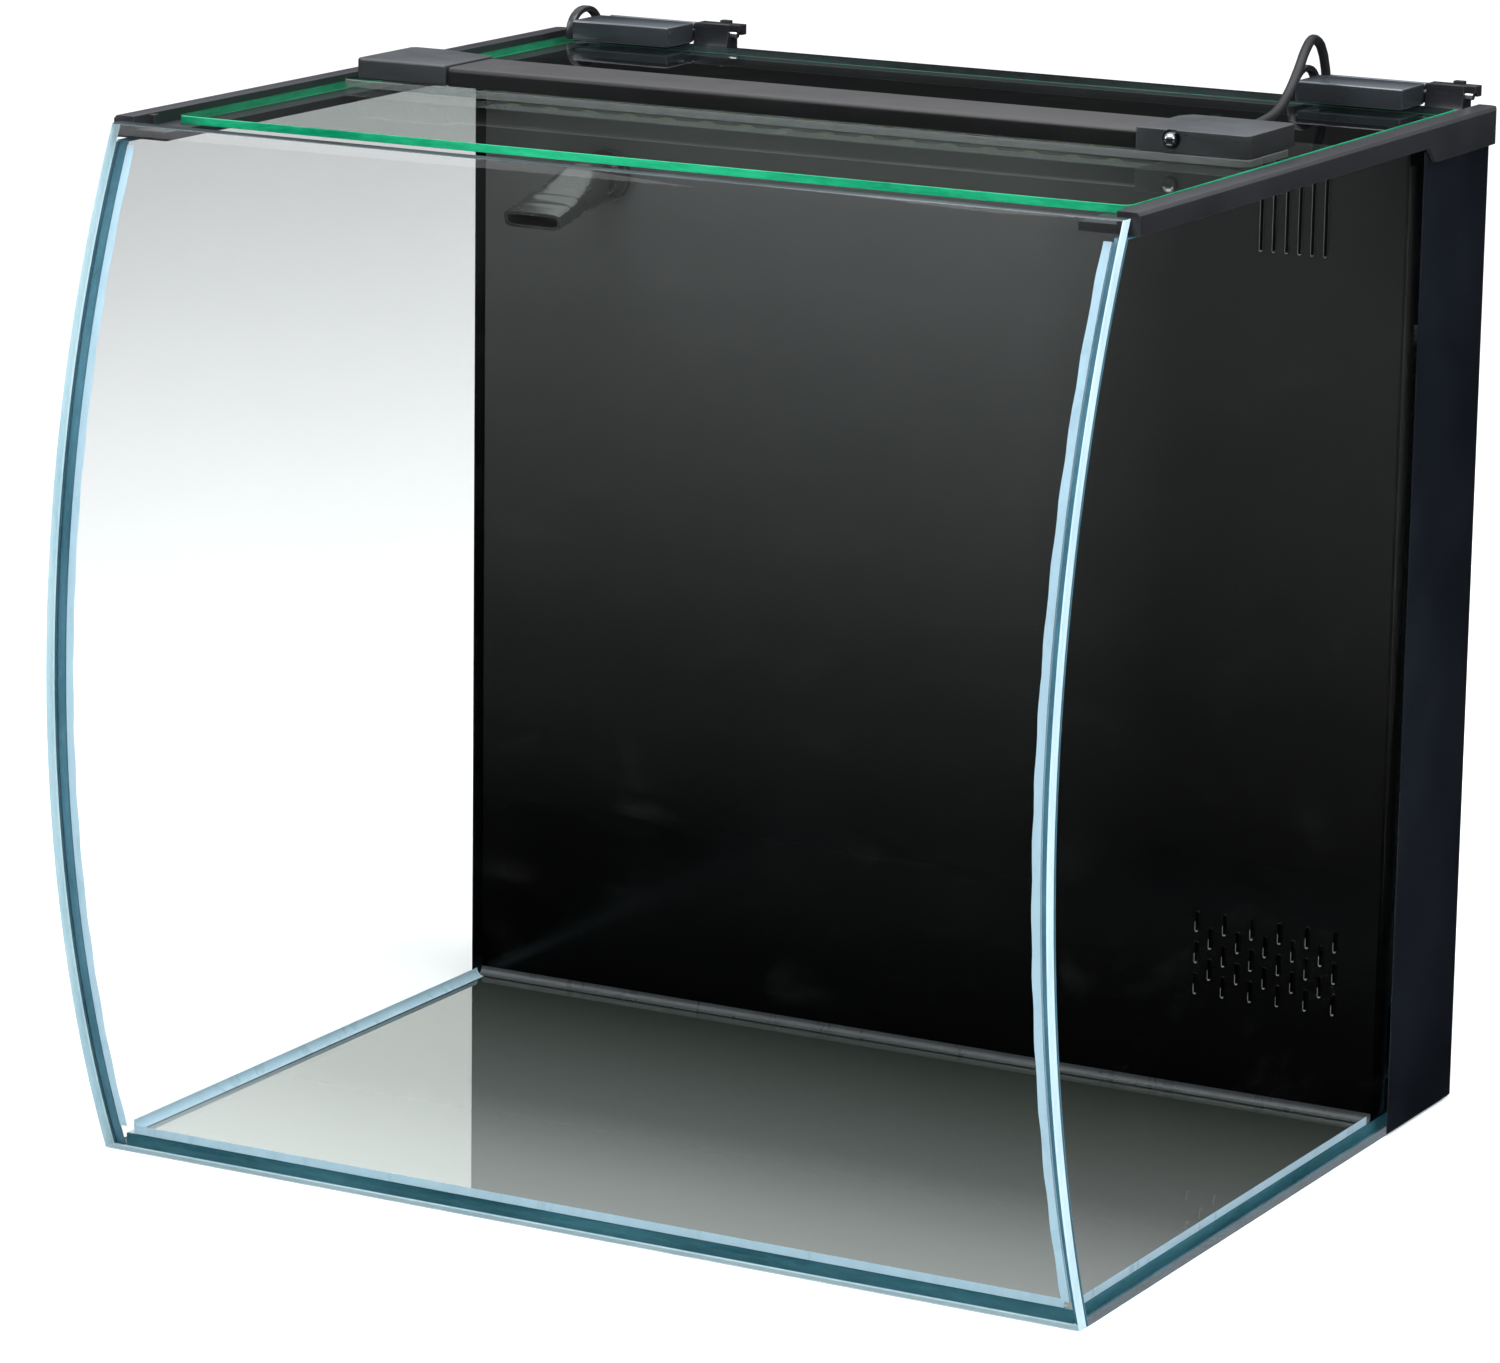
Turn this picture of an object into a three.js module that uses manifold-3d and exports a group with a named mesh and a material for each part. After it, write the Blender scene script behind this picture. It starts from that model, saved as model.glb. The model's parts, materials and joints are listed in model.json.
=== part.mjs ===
// All-in-one aquarium: a bow-front glass tank with a filter compartment behind a black back wall,
// a black rim, a hinged glass lid, and a flat LED lamp that is fixed on the lid.
//
// Millimetres, +Z up, X across the tank (+X is its right side seen from the front), +Y to the rear.
// The model is drawn from the front pane's bottom edge (y = 0), then moved so that the origin is
// at the middle of the object's underside.
import * as THREE from 'three';
import Module from 'manifold-3d';
import { mergeVertices } from 'three/addons/utils/BufferGeometryUtils.js';

const wasm = await Module();
wasm.setup();

// ---------------------------------------------------------------- driving dimensions
const WIDTH = 400; // over the side panes
const DEPTH = 322; // front pane's foot to the rear pane's back
const GLASS = 5;
const LID_GLASS = 3;
const GAP = 0.3; // between pieces that touch
const HALF = WIDTH / 2;
const INNER = HALF - GLASS; // inside face of a side pane

// front pane: an arc about an axis along X
const BOW_RADIUS = 477;
const BOW_AXIS_Z = 178;
const BOW_AXIS_Y = Math.sqrt(BOW_RADIUS ** 2 - BOW_AXIS_Z ** 2);
const FRONT_TOP = 379.4;
const BOW_STEPS = 26;

const PANE_TOP = 373;
const LEDGE_TOP = 376.7;
const RIM_TOP = 381.3;
const RIM_OUT = 203;
const RIM_BACK = DEPTH + 3.8;
const LIP_IN = 194.5; // inside face of the raised lip
const LEDGE_IN = 180.5;
const SKIRT_IN = 201.2;
const SKIRT_Z = 374; // lower edge of the skirt beside the display
const SKIRT_DEEP_Z = 367.6; // and beside the filter compartment

const WALL_Y = 259; // front face of the black back wall
const WALL_T = 3;
const WALL_BACK = WALL_Y + WALL_T;
const REAR_IN = DEPTH - GLASS; // inside face of the rear pane
const FLOOR = GLASS + GAP; // first clear height over the base pane
const FILM_Y = 261;
const FILM_T = 0.5;

const LID_HALF = 189.5;
const LID_FRONT = 36;
const LID_BACK = 318;
const LID_Z = 377;
const LID_TOP = LID_Z + LID_GLASS;

const AXIS_Y = 324; // lid hinge axis
const AXIS_Z = 384.2;
const BARREL_R = 3.8;
const PIN_R = 1.4;
const BORE_R = 1.45;
const HINGE_X = [-184, 127.5]; // left end of each hinge
const HINGE_NAMES = ['left', 'right'];
const CLAMP = [3.8, 47]; // clamp's span along a hinge
const HINGE_END = 66.5;

const LAMP_LEFT = -176;
const LAMP_RIGHT = 188;
const LAMP_FRONT = 134;
const LAMP_BACK = 168;
const CAP_BACK = 174.5;
const LENS_Z = LID_TOP + GAP;
const LENS_T = 2.8;
const LAMP_Z = LENS_Z + LENS_T + GAP;
const LAMP_TOP = 391.2;
const SEAM_LEFT = -137;
const SEAM_RIGHT = 145;

const OUTLET = { x: -139, y: 246.5, z: 335, pipe: 7, ball: 7.2 };
const BILL_TILT = THREE.MathUtils.degToRad(13);
const PUMP = { x0: -166, x1: -114, y0: 267, y1: 309, z0: 12, z1: 60 };
const HOSE = { x: OUTLET.x, y: 288 };
const IMPELLER = { y: 288, z: 34, r: 12.5 };

const CORD_R = 1.85;
const CORD_SIDES = 8;
const COIL_R = 21; // radius at the middle of the turns
const COIL_TURNS = 4.5; // side by side in each of two layers
const TURN_PITCH = 3.75;

// ---------------------------------------------------------------- solids
function toManifold(geometry) {
  const g = geometry.clone();
  g.deleteAttribute('normal');
  g.deleteAttribute('uv');
  const merged = mergeVertices(g.index ? g.toNonIndexed() : g, 1e-4);
  return new wasm.Manifold(new wasm.Mesh({
    numProp: 3,
    vertProperties: new Float32Array(merged.attributes.position.array),
    triVerts: new Uint32Array(merged.index.array),
  }));
}

function toGeometry(manifold) {
  const mesh = manifold.getMesh();
  const g = new THREE.BufferGeometry();
  g.setAttribute('position', new THREE.BufferAttribute(new Float32Array(mesh.vertProperties), 3));
  g.setIndex(new THREE.BufferAttribute(new Uint32Array(mesh.triVerts), 1));
  return g;
}

function outline(points) {
  return new THREE.Shape(points.map(([a, b]) => new THREE.Vector2(a, b)));
}

function extrude(shape, length, curveSegments = 8) {
  return new THREE.ExtrudeGeometry(shape, { depth: length, bevelEnabled: false, curveSegments });
}

const TO_X = new THREE.Matrix4().set(0, 0, 1, 0, 1, 0, 0, 0, 0, 1, 0, 0, 0, 0, 0, 1);
const TO_Y = new THREE.Matrix4().set(0, 1, 0, 0, 0, 0, 1, 0, 1, 0, 0, 0, 0, 0, 0, 1);

// a prism along X from an outline of [y, z] points
function prismX(points, x0, x1) {
  return toManifold(extrude(outline(points), x1 - x0).applyMatrix4(TO_X).translate(x0, 0, 0));
}

// a prism along Y from an outline of [x, z] points
function prismY(points, y0, y1) {
  const turned = points.map(([x, z]) => [z, x]);
  return toManifold(extrude(outline(turned), y1 - y0).applyMatrix4(TO_Y).translate(0, y0, 0));
}

// a prism along Z from a shape, or from an outline of [x, y] points
function prismZ(shape, z0, z1, curveSegments = 8) {
  const plan = Array.isArray(shape) ? outline(shape) : shape;
  return toManifold(extrude(plan, z1 - z0, curveSegments).translate(0, 0, z0));
}

function box(x0, x1, y0, y1, z0, z1) {
  const g = new THREE.BoxGeometry(x1 - x0, y1 - y0, z1 - z0);
  return toManifold(g.translate((x0 + x1) / 2, (y0 + y1) / 2, (z0 + z1) / 2));
}

// a cylinder from a point along an axis letter
function rod(axis, x, y, z, length, radius, sides = 20, radiusEnd = radius) {
  const g = new THREE.CylinderGeometry(radiusEnd, radius, length, sides);
  g.translate(0, length / 2, 0);
  if (axis === 'x') g.rotateZ(-Math.PI / 2);
  if (axis === 'z') g.rotateX(Math.PI / 2);
  return toManifold(g.translate(x, y, z));
}

function roundedRect(x0, x1, y0, y1, r) {
  const s = new THREE.Shape();
  s.moveTo(x0 + r, y0);
  s.lineTo(x1 - r, y0);
  s.absarc(x1 - r, y0 + r, r, -Math.PI / 2, 0);
  s.lineTo(x1, y1 - r);
  s.absarc(x1 - r, y1 - r, r, 0, Math.PI / 2);
  s.lineTo(x0 + r, y1);
  s.absarc(x0 + r, y1 - r, r, Math.PI / 2, Math.PI);
  s.lineTo(x0, y0 + r);
  s.absarc(x0 + r, y0 + r, r, Math.PI, 1.5 * Math.PI);
  return s;
}

function joinAll(solids) {
  return solids.reduce((a, b) => a.add(b));
}

function cutAll(solid, cutters) {
  return cutters.reduce((a, b) => a.subtract(b), solid);
}

// ---------------------------------------------------------------- materials
const LOOK = {
  glass: { color: 0xcfe6e6, roughness: 0.03, metalness: 0 },
  lidGlass: { color: 0x8fd8b8, roughness: 0.03, metalness: 0 },
  silicone: { color: 0xd9e6e8, roughness: 0.35, metalness: 0 },
  darkSilicone: { color: 0x33373a, roughness: 0.5, metalness: 0 },
  film: { color: 0x14181d, roughness: 0.25, metalness: 0 },
  wall: { color: 0x1b1c1e, roughness: 0.6, metalness: 0 },
  rim: { color: 0x26272b, roughness: 0.38, metalness: 0 },
  lampBar: { color: 0x232427, roughness: 0.42, metalness: 0.1 },
  lampCap: { color: 0x2b2d31, roughness: 0.3, metalness: 0 },
  lens: { color: 0xbcc4c4, roughness: 0.15, metalness: 0 },
  board: { color: 0xe9ebe6, roughness: 0.5, metalness: 0 },
  gloss: { color: 0x08090a, roughness: 0.05, metalness: 0 },
  steel: { color: 0xb4b8bb, roughness: 0.3, metalness: 1 },
  rubber: { color: 0x1a1a1b, roughness: 0.7, metalness: 0 },
  cord: { color: 0x17181a, roughness: 0.5, metalness: 0 },
  foam: { color: 0x2a2c2e, roughness: 0.95, metalness: 0 },
  carbon: { color: 0x202122, roughness: 0.9, metalness: 0 },
  ceramic: { color: 0xd8cdb6, roughness: 0.85, metalness: 0 },
  floss: { color: 0xeceeec, roughness: 0.95, metalness: 0 },
  pump: { color: 0x202327, roughness: 0.45, metalness: 0 },
  magnet: { color: 0x3c3f44, roughness: 0.35, metalness: 0.6 },
};

const group = new THREE.Group();
const tank = new THREE.Group();
group.add(tank);

function addNode(name, look, manifold) {
  const mesh = new THREE.Mesh(toGeometry(manifold), new THREE.MeshStandardMaterial(LOOK[look]));
  mesh.name = name;
  tank.add(mesh);
}

// ---------------------------------------------------------------- glass
function bowY(z, radius) {
  return BOW_AXIS_Y - Math.sqrt(radius ** 2 - (z - BOW_AXIS_Z) ** 2);
}

// points [y, z] up an arc about the bow's axis
function bowLine(radius, z0, z1, steps = BOW_STEPS) {
  return Array.from({ length: steps + 1 }, (_, i) => {
    const z = z0 + ((z1 - z0) * i) / steps;
    return [bowY(z, radius), z];
  });
}

function bowBand(outer, inner, z0, z1) {
  return [...bowLine(outer, z0, z1), ...bowLine(inner, z0, z1).reverse()];
}

const BOW_INSIDE = BOW_RADIUS - GLASS;
const BASE_FRONT = bowY(0, BOW_INSIDE) + 0.6;

function addGlass() {
  addNode('front_pane', 'glass', prismX(bowBand(BOW_RADIUS, BOW_INSIDE, 0, FRONT_TOP), -HALF, HALF));
  const side = [...bowLine(BOW_INSIDE - 0.6, 0, PANE_TOP), [REAR_IN - GAP, PANE_TOP], [REAR_IN - GAP, 0]];
  addNode('left_pane', 'glass', prismX(side, -HALF, -INNER));
  addNode('right_pane', 'glass', prismX(side, INNER, HALF));
  addNode('rear_pane', 'glass', box(-HALF, HALF, REAR_IN, DEPTH, 0, PANE_TOP));
  addNode('base_pane', 'glass', box(-INNER + GAP, INNER - GAP, BASE_FRONT, REAR_IN - GAP, 0, GLASS));
}

// ---------------------------------------------------------------- silicone and film
const BEAD = 3.2;

function addSeams() {
  const arc = bowBand(BOW_INSIDE - GAP, BOW_INSIDE - GAP - BEAD, FLOOR + BEAD + GAP, PANE_TOP - 8);
  const high = FLOOR + BEAD;
  for (const side of [-1, 1]) {
    const name = side < 0 ? 'left' : 'right';
    const [x0, x1] = [side * (INNER - GAP), side * (INNER - GAP - BEAD)].sort((a, b) => a - b);
    addNode(`front_bead_${name}`, 'silicone', prismX(arc, x0, x1));
    const edge = side * (INNER - GAP);
    const foot = [[edge, FLOOR], [edge, high], [edge - side * BEAD, FLOOR]];
    const points = side > 0 ? foot : [...foot].reverse();
    addNode(`base_bead_${name}`, 'silicone', prismY(points, BASE_FRONT + BEAD + 2, WALL_Y - 4));
  }
  const front = [[BASE_FRONT, FLOOR], [BASE_FRONT + BEAD, FLOOR], [BASE_FRONT - 1, high]];
  addNode('base_bead_front', 'silicone', prismX(front, -INNER + BEAD + 1, INNER - BEAD - 1));
  const wallFoot = [[WALL_Y - GAP - BEAD, FLOOR], [WALL_Y - GAP, FLOOR], [WALL_Y - GAP, high]];
  addNode('wall_seal', 'darkSilicone', prismX(wallFoot, -INNER + GAP, INNER - GAP));
}

function addFilms() {
  const back = DEPTH - 0.5;
  const z1 = SKIRT_DEEP_Z + 4;
  addNode('film_left', 'film', box(-HALF - GAP - FILM_T, -HALF - GAP, FILM_Y, back, 1, z1));
  addNode('film_right', 'film', box(HALF + GAP, HALF + GAP + FILM_T, FILM_Y, back, 1, z1));
  addNode('film_rear', 'film', box(-HALF + 1, HALF - 1, DEPTH + GAP, DEPTH + GAP + FILM_T, 1, z1));
}

// ---------------------------------------------------------------- back wall and its slots
function slotHole(x, z0, z1, r) {
  const p = new THREE.Path();
  p.absarc(z1 - r, x, r, -Math.PI / 2, Math.PI / 2);
  p.absarc(z0 + r, x, r, Math.PI / 2, 1.5 * Math.PI);
  p.closePath();
  return p;
}

const SLOT_R = 0.8;
const COMB = { x0: 138.1, pitch: 5.14, count: 6, z0: 330, z1: 365 };
const GRID = { x0: 120.9, pitch: 5.67, columns: 11, z0: 44.1, rise: 12.2, length: 8.4 };

function wallHoles() {
  const holes = [];
  for (let i = 0; i < COMB.count; i += 1) {
    holes.push(slotHole(COMB.x0 + COMB.pitch * i, COMB.z0, COMB.z1, SLOT_R));
  }
  for (let i = 0; i < GRID.columns; i += 1) {
    const odd = i % 2;
    for (let k = 0; k < 3 - odd; k += 1) {
      const z = GRID.z0 + GRID.rise * (k + odd / 2);
      holes.push(slotHole(GRID.x0 + GRID.pitch * i, z, z + GRID.length, SLOT_R));
    }
  }
  return holes;
}

function addBackWall() {
  const x = INNER - GAP;
  const z1 = PANE_TOP - 2;
  const shape = outline([[FLOOR, -x], [z1, -x], [z1, x], [FLOOR, x]].reverse());
  shape.holes = wallHoles();
  const solid = toManifold(extrude(shape, WALL_T, 2).applyMatrix4(TO_Y).translate(0, WALL_Y, 0));
  const outlet = rod('y', OUTLET.x, WALL_Y - 1, OUTLET.z, WALL_T + 2, OUTLET.pipe + GAP, 24);
  addNode('back_wall', 'wall', cutAll(solid, [outlet]));
}

// ---------------------------------------------------------------- filter compartment
const WEIR_X = 102;
const UNDER_X = 93;
const PUMP_WEIR_X = -92;
const PLATE_T = 3;
const BAY = [WALL_BACK + GAP, REAR_IN - GAP]; // front and back limits between wall and rear pane
const BASKET = { x0: -86, x1: 90, z0: 30, z1: 300, wall: 2 };

function addPlates() {
  const top = PANE_TOP - 2;
  addNode('weir_plate', 'wall', box(WEIR_X, WEIR_X + PLATE_T, BAY[0], BAY[1], FLOOR, 318));
  addNode('underflow_plate', 'wall', box(UNDER_X, UNDER_X + PLATE_T, BAY[0], BAY[1], 26, top));
  addNode('pump_weir', 'wall', box(PUMP_WEIR_X, PUMP_WEIR_X + PLATE_T, BAY[0], BAY[1], FLOOR, 306));
}

function basketSolid() {
  const [y0, y1] = [BAY[0] + 1.5, BAY[1] - 1.5];
  const { x0, x1, z0, z1, wall } = BASKET;
  const cutters = [
    box(x0 + wall, x1 - wall, y0 + wall, y1 - wall, z0 + wall, z1 + 1),
    rod('x', x0 - 1, HANDLE.y, HANDLE.z, x1 - x0 + 2, HANDLE.stub + GAP, 12),
  ];
  const bar = 8;
  const columns = 4;
  const step = (x1 - x0 - 2 * bar + 6) / columns;
  for (let i = 0; i < columns; i += 1) {
    const left = x0 + bar + step * i;
    cutters.push(box(left, left + step - 6, y0 - 1, y1 + 1, z0 + 12, z0 + 90));
    cutters.push(box(left, left + step - 6, y0 - 1, y1 + 1, z0 + 104, z0 + 182));
    cutters.push(box(left, left + step - 6, y0 + 6, y1 - 6, z0 - 1, z0 + wall + 1));
  }
  return cutAll(box(x0, x1, y0, y1, z0, z1), cutters);
}

function addFilter() {
  addNode('coarse_sponge', 'foam', box(110, 190, BAY[0] + 2, BAY[1] - 2, 40, 300));
  addNode('media_basket', 'pump', basketSolid());
  const inset = BASKET.wall + 0.6;
  const x = [BASKET.x0 + inset, BASKET.x1 - inset];
  const y = [BAY[0] + 1.5 + inset, BAY[1] - 1.5 - inset];
  addNode('ceramic_media', 'ceramic', box(...x, ...y, 33, 130));
  addNode('carbon_pad', 'carbon', box(...x, ...y, 130.6, 190));
  addNode('filter_floss', 'floss', box(...x, ...y, 190.6, 232));
}

const HANDLE = { y: (BAY[0] + BAY[1]) / 2, z: 290, arm: 22, t: 3, stub: 1.3 };

// a bail across the basket, folded down to the rear, on a stub at each end
function addBasketHandle() {
  const { y, z, arm, t } = HANDLE;
  const x0 = BASKET.x0 + BASKET.wall + 0.5;
  const x1 = BASKET.x1 - BASKET.wall - 0.5;
  const y1 = y + arm;
  const parts = [
    box(x0, x0 + t, y - t, y1, z - t / 2, z + t / 2),
    box(x1 - t, x1, y - t, y1, z - t / 2, z + t / 2),
    box(x0, x1, y1 - t, y1, z - t / 2, z + t / 2),
    rod('x', BASKET.x0 + GAP, y, z, x0 - BASKET.x0, HANDLE.stub, 12),
    rod('x', x1 - GAP, y, z, BASKET.x1 - x1, HANDLE.stub, 12),
  ];
  addNode('basket_handle', 'rim', joinAll(parts));
}

// ---------------------------------------------------------------- return pump
function addPump() {
  const { x0, x1, y0, y1, z0, z1 } = PUMP;
  const { y, z, r } = IMPELLER;
  const casing = cutAll(
    joinAll([box(x0, x1, y0, y1, z0, z1), rod('z', HOSE.x, HOSE.y, z1 - 1, 14, 6.2, 20)]),
    [rod('x', x1 - 16, y, z, 20, r + 1.2, 24), rod('x', x0 + 8, y, z, 40, 6.6, 20),
      rod('z', HOSE.x, HOSE.y, z + 6, 60, 4.4, 16)],
  );
  addNode('pump_casing', 'pump', casing);
  const blades = [0, 1, 2, 3].map((i) => {
    const a = (i * Math.PI) / 2;
    const g = new THREE.BoxGeometry(9, 9.5, 1.8).translate(0, 7.2, 0).rotateX(a);
    return toManifold(g.translate(x1 - 9, y, z));
  });
  const rotor = [rod('x', x0 + 10, y, z, 34, 5.8, 20), rod('x', x1 - 14, y, z, 10, 4, 16)];
  addNode('pump_impeller', 'magnet', joinAll([...rotor, ...blades]));
  const rows = [-10, -5, 0, 5, 10].map((dy) => y + dy);
  const slots = rows.map((cy) => box(x1 - 1, x1 + 9, cy - 1.2, cy + 1.2, 24, 44));
  const cover = cutAll(box(x1 + GAP, x1 + 7, y0 + 2, y1 - 2, z0 + 4, z1 - 6), slots);
  addNode('pump_cover', 'pump', cutAll(cover, [box(x1 - 1, x1 + 4, y - 13, y + 13, 22, 46)]));
  addNode('flow_gate', 'rim', joinAll([
    box(x1 + 7.3, x1 + 9, y - 17, y + 17, 44.5, 52),
    box(x1 + 8.9, x1 + 12, y - 3, y + 3, 46, 50.5),
  ]));
  const cup = [[0, 0], [7, 0], [7, 1], [2.6, 3.4], [2.6, 6.2], [0, 6.2]];
  const cupLine = cup.map((p) => new THREE.Vector2(...p));
  const feet = [[x0 + 9, y0 + 8], [x0 + 9, y1 - 8], [x1 - 9, y0 + 8], [x1 - 9, y1 - 8]];
  feet.forEach(([cx, cy], i) => {
    const g = new THREE.LatheGeometry(cupLine, 16).rotateX(Math.PI / 2);
    g.translate(cx, cy, FLOOR + 0.1);
    addNode(`pump_foot_${i + 1}`, 'rubber', toManifold(g));
  });
}

// ---------------------------------------------------------------- outlet
function tube(points, radius, sides, steps) {
  const ring = new THREE.Shape();
  for (let i = 0; i < sides; i += 1) {
    const a = (2 * Math.PI * i) / sides;
    const [px, py] = [radius * Math.cos(a), radius * Math.sin(a)];
    if (i === 0) ring.moveTo(px, py);
    else ring.lineTo(px, py);
  }
  const path = new THREE.CatmullRomCurve3(points.map((p) => new THREE.Vector3(...p)));
  const options = { steps, bevelEnabled: false, extrudePath: path };
  return toManifold(new THREE.ExtrudeGeometry(ring, options));
}

function addOutlet() {
  const { x, y, z, pipe, ball } = OUTLET;
  const back = HOSE.y;
  const bend = [
    [x, WALL_BACK + 4, z],
    [x, back - 8, z],
    [x, back - 2, z - 1.8],
    [x, back, z - 8],
    [x, back, z - 22],
  ];
  const elbow = cutAll(
    joinAll([
      rod('y', x, WALL_Y - 6, z, 16, pipe, 24),
      rod('y', x, WALL_Y - 3.4, z, 3.1, pipe + 3.2, 24),
      tube(bend, pipe, 16, 12),
    ]),
    [toManifold(new THREE.SphereGeometry(ball + 0.35, 20, 14).translate(x, y, z))],
  );
  addNode('outlet_elbow', 'rim', elbow);
  addNode('elbow_nut', 'rim', cutAll(rod('y', x, WALL_BACK + GAP, z, 3.5, pipe + 3.4, 6),
    [rod('y', x, WALL_BACK - 1, z, 8, pipe + GAP, 24)]));
  const hoseLow = PUMP.z1 + 1;
  const hoseHigh = z - 22.4;
  addNode('pump_hose', 'rubber', cutAll(rod('z', HOSE.x, HOSE.y, hoseLow, hoseHigh - hoseLow, 8.4, 20),
    [rod('z', HOSE.x, HOSE.y, hoseLow - 1, hoseHigh - hoseLow + 2, 6.5, 20)]));
}

// flat bill that swings on a ball; the collar grips the ball from the front
function addNozzle() {
  const { x, y, z, ball } = OUTLET;
  const bore = 3.6;
  const core = cutAll(
    toManifold(new THREE.SphereGeometry(ball, 20, 14).translate(x, y, z)),
    [rod('y', x, y - 12, z, 24, bore, 16)],
  );
  addNode('nozzle_ball', 'rim', core);
  const mouth = { half: 12.4, thick: 2.6, reach: 46.5 };
  const sections = [
    { d: 4.2, half: 9.4, thick: 9.4 },
    { d: 12, half: 9.6, thick: 8.6 },
    { d: 24, half: 11, thick: 5 },
    { d: 34, half: 12, thick: 3.2 },
    { d: mouth.reach, half: mouth.half, thick: mouth.thick },
  ];
  const shell = loftAlongY(sections, 0);
  const hollow = loftAlongY(sections, 1.4);
  const socket = toManifold(new THREE.SphereGeometry(ball + 0.3, 20, 14));
  const bill = cutAll(shell, [hollow, socket]).rotate([(BILL_TILT * 180) / Math.PI, 0, 0]);
  addNode('nozzle_bill', 'rim', bill.translate([x, y, z]));
}

// superellipse rings down -Y, shrunk by an inset; a hollow runs past both ends
function loftAlongY(sections, inset) {
  const sides = 20;
  const rings = sections.map((s, k) => {
    const extra = inset > 0 && k === 0 ? -6 : inset > 0 && k === sections.length - 1 ? 4 : 0;
    const power = 1 - 0.6 * Math.min(1, s.d / 30);
    return Array.from({ length: sides }, (_, i) => {
      const a = (2 * Math.PI * i) / sides;
      const c = Math.cos(a);
      const w = Math.sin(a);
      return [
        Math.sign(c) * Math.abs(c) ** power * (s.half - inset),
        -s.d - extra,
        Math.sign(w) * Math.abs(w) ** power * (s.thick - inset),
      ];
    });
  });
  const count = rings.length;
  const position = rings.flat(2);
  const ends = [rings[0], rings[count - 1]].map((ring) => [0, ring[0][1], 0]);
  position.push(...ends[0], ...ends[1]);
  const first = count * sides;
  const index = [];
  for (let k = 0; k < count - 1; k += 1) {
    for (let i = 0; i < sides; i += 1) {
      const j = (i + 1) % sides;
      const [a, b, c, d] = [k * sides + i, k * sides + j, (k + 1) * sides + i, (k + 1) * sides + j];
      index.push(a, b, c, b, d, c);
    }
  }
  for (let i = 0; i < sides; i += 1) {
    const j = (i + 1) % sides;
    const last = (count - 1) * sides;
    index.push(first, j, i, first + 1, last + i, last + j);
  }
  const g = new THREE.BufferGeometry();
  g.setAttribute('position', new THREE.Float32BufferAttribute(position, 3));
  g.setIndex(index);
  return toManifold(g);
}

// ---------------------------------------------------------------- rim
function rimRail(side) {
  const s = (points) => (side > 0 ? points : points.map(([px, pz]) => [-px, pz]).reverse());
  const under = PANE_TOP + 0.5;
  const round = 1.2;
  const web = s([
    [LEDGE_IN, under], [RIM_OUT, under], [RIM_OUT, RIM_TOP - round], [RIM_OUT - round, RIM_TOP],
    [LIP_IN, RIM_TOP], [LIP_IN, LEDGE_TOP], [LEDGE_IN, LEDGE_TOP],
  ]);
  const front = bowY(FRONT_TOP, BOW_INSIDE) + GAP;
  const skirtX = [side * SKIRT_IN, side * RIM_OUT].sort((a, b) => a - b);
  const skirt = [
    [front, under + 1], [front, SKIRT_Z - 0.6], [FILM_Y - 1, SKIRT_Z - 0.6], [FILM_Y + 5.4, SKIRT_DEEP_Z],
    [RIM_BACK, SKIRT_DEEP_Z], [RIM_BACK, under + 1],
  ];
  return prismY(web, front, RIM_BACK).add(prismX([...skirt].reverse(), ...skirtX));
}

function addRim() {
  const ledgeBack = REAR_IN - 6;
  const parts = [
    rimRail(-1),
    rimRail(1),
    box(-LEDGE_IN - 1, LEDGE_IN + 1, ledgeBack, RIM_BACK, PANE_TOP + 0.5, LEDGE_TOP),
    box(-RIM_OUT, RIM_OUT, DEPTH + 1.3, RIM_BACK, SKIRT_DEEP_Z, PANE_TOP + 1),
  ];
  // two small stops stand on each ledge ahead of the lid
  for (const side of [-1, 1]) {
    const x = side * (LIP_IN + 0.5);
    const [x0, x1] = [x, x - side * 2.6].sort((a, b) => a - b);
    parts.push(box(x0, x1, 26, 29, LEDGE_TOP - 1, RIM_TOP - 0.4));
  }
  const cutters = HINGE_X.map((x) => box(x - 1, x + CLAMP[1] + 1.5, ledgeBack - 1, 321.6, 370, 380));
  const plan = roundedRect(-RIM_OUT, RIM_OUT, -20, RIM_BACK, 4.5);
  addNode('rim', 'rim', cutAll(joinAll(parts), cutters).intersect(prismZ(plan, 360, 390, 5)));
}

// ---------------------------------------------------------------- lid and hinges
function addLid() {
  const plan = roundedRect(-LID_HALF, LID_HALF, LID_FRONT, LID_BACK, 4);
  addNode('lid_glass', 'lidGlass', prismZ(plan, LID_Z, LID_TOP, 5));
}

function hingeBase(x) {
  const foot = LEDGE_TOP + GAP;
  const front = LID_BACK + 0.6;
  const top = AXIS_Z + BARREL_R;
  const rampSteps = 8;
  const ramp = Array.from({ length: rampSteps + 1 }, (_, i) => {
    const a = (Math.PI / 2) * (i / rampSteps);
    return [front + 2.8 * Math.sin(a), top - 9.8 * Math.cos(a)];
  });
  const profile = [[AXIS_Y + 5, foot], [AXIS_Y + 5, top], ...ramp.reverse(), [front, foot]].reverse();
  const block = prismX(profile, x + CLAMP[1] + 0.5, x + HINGE_END - 4);
  const hook = [
    box(x + HINGE_END - 4.1, x + HINGE_END, AXIS_Y - 1, AXIS_Y + 5, foot + 7, top),
    box(x + HINGE_END - 10, x + HINGE_END - 6, AXIS_Y + 1.5, AXIS_Y + 4.5, top - 0.5, top + 1.2),
  ];
  const saddle = [
    box(x + 6, x + HINGE_END - 4, AXIS_Y - 1.6, RIM_BACK + GAP + 2, foot, foot + 1.6),
    box(x + 6, x + HINGE_END - 4, RIM_BACK + GAP, RIM_BACK + GAP + 2, SKIRT_DEEP_Z, foot + 1.6),
  ];
  const bore = rod('x', x - 5, AXIS_Y, AXIS_Z, HINGE_END + 20, BORE_R, 16);
  return cutAll(joinAll([block, ...hook, ...saddle]), [bore]);
}

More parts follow.
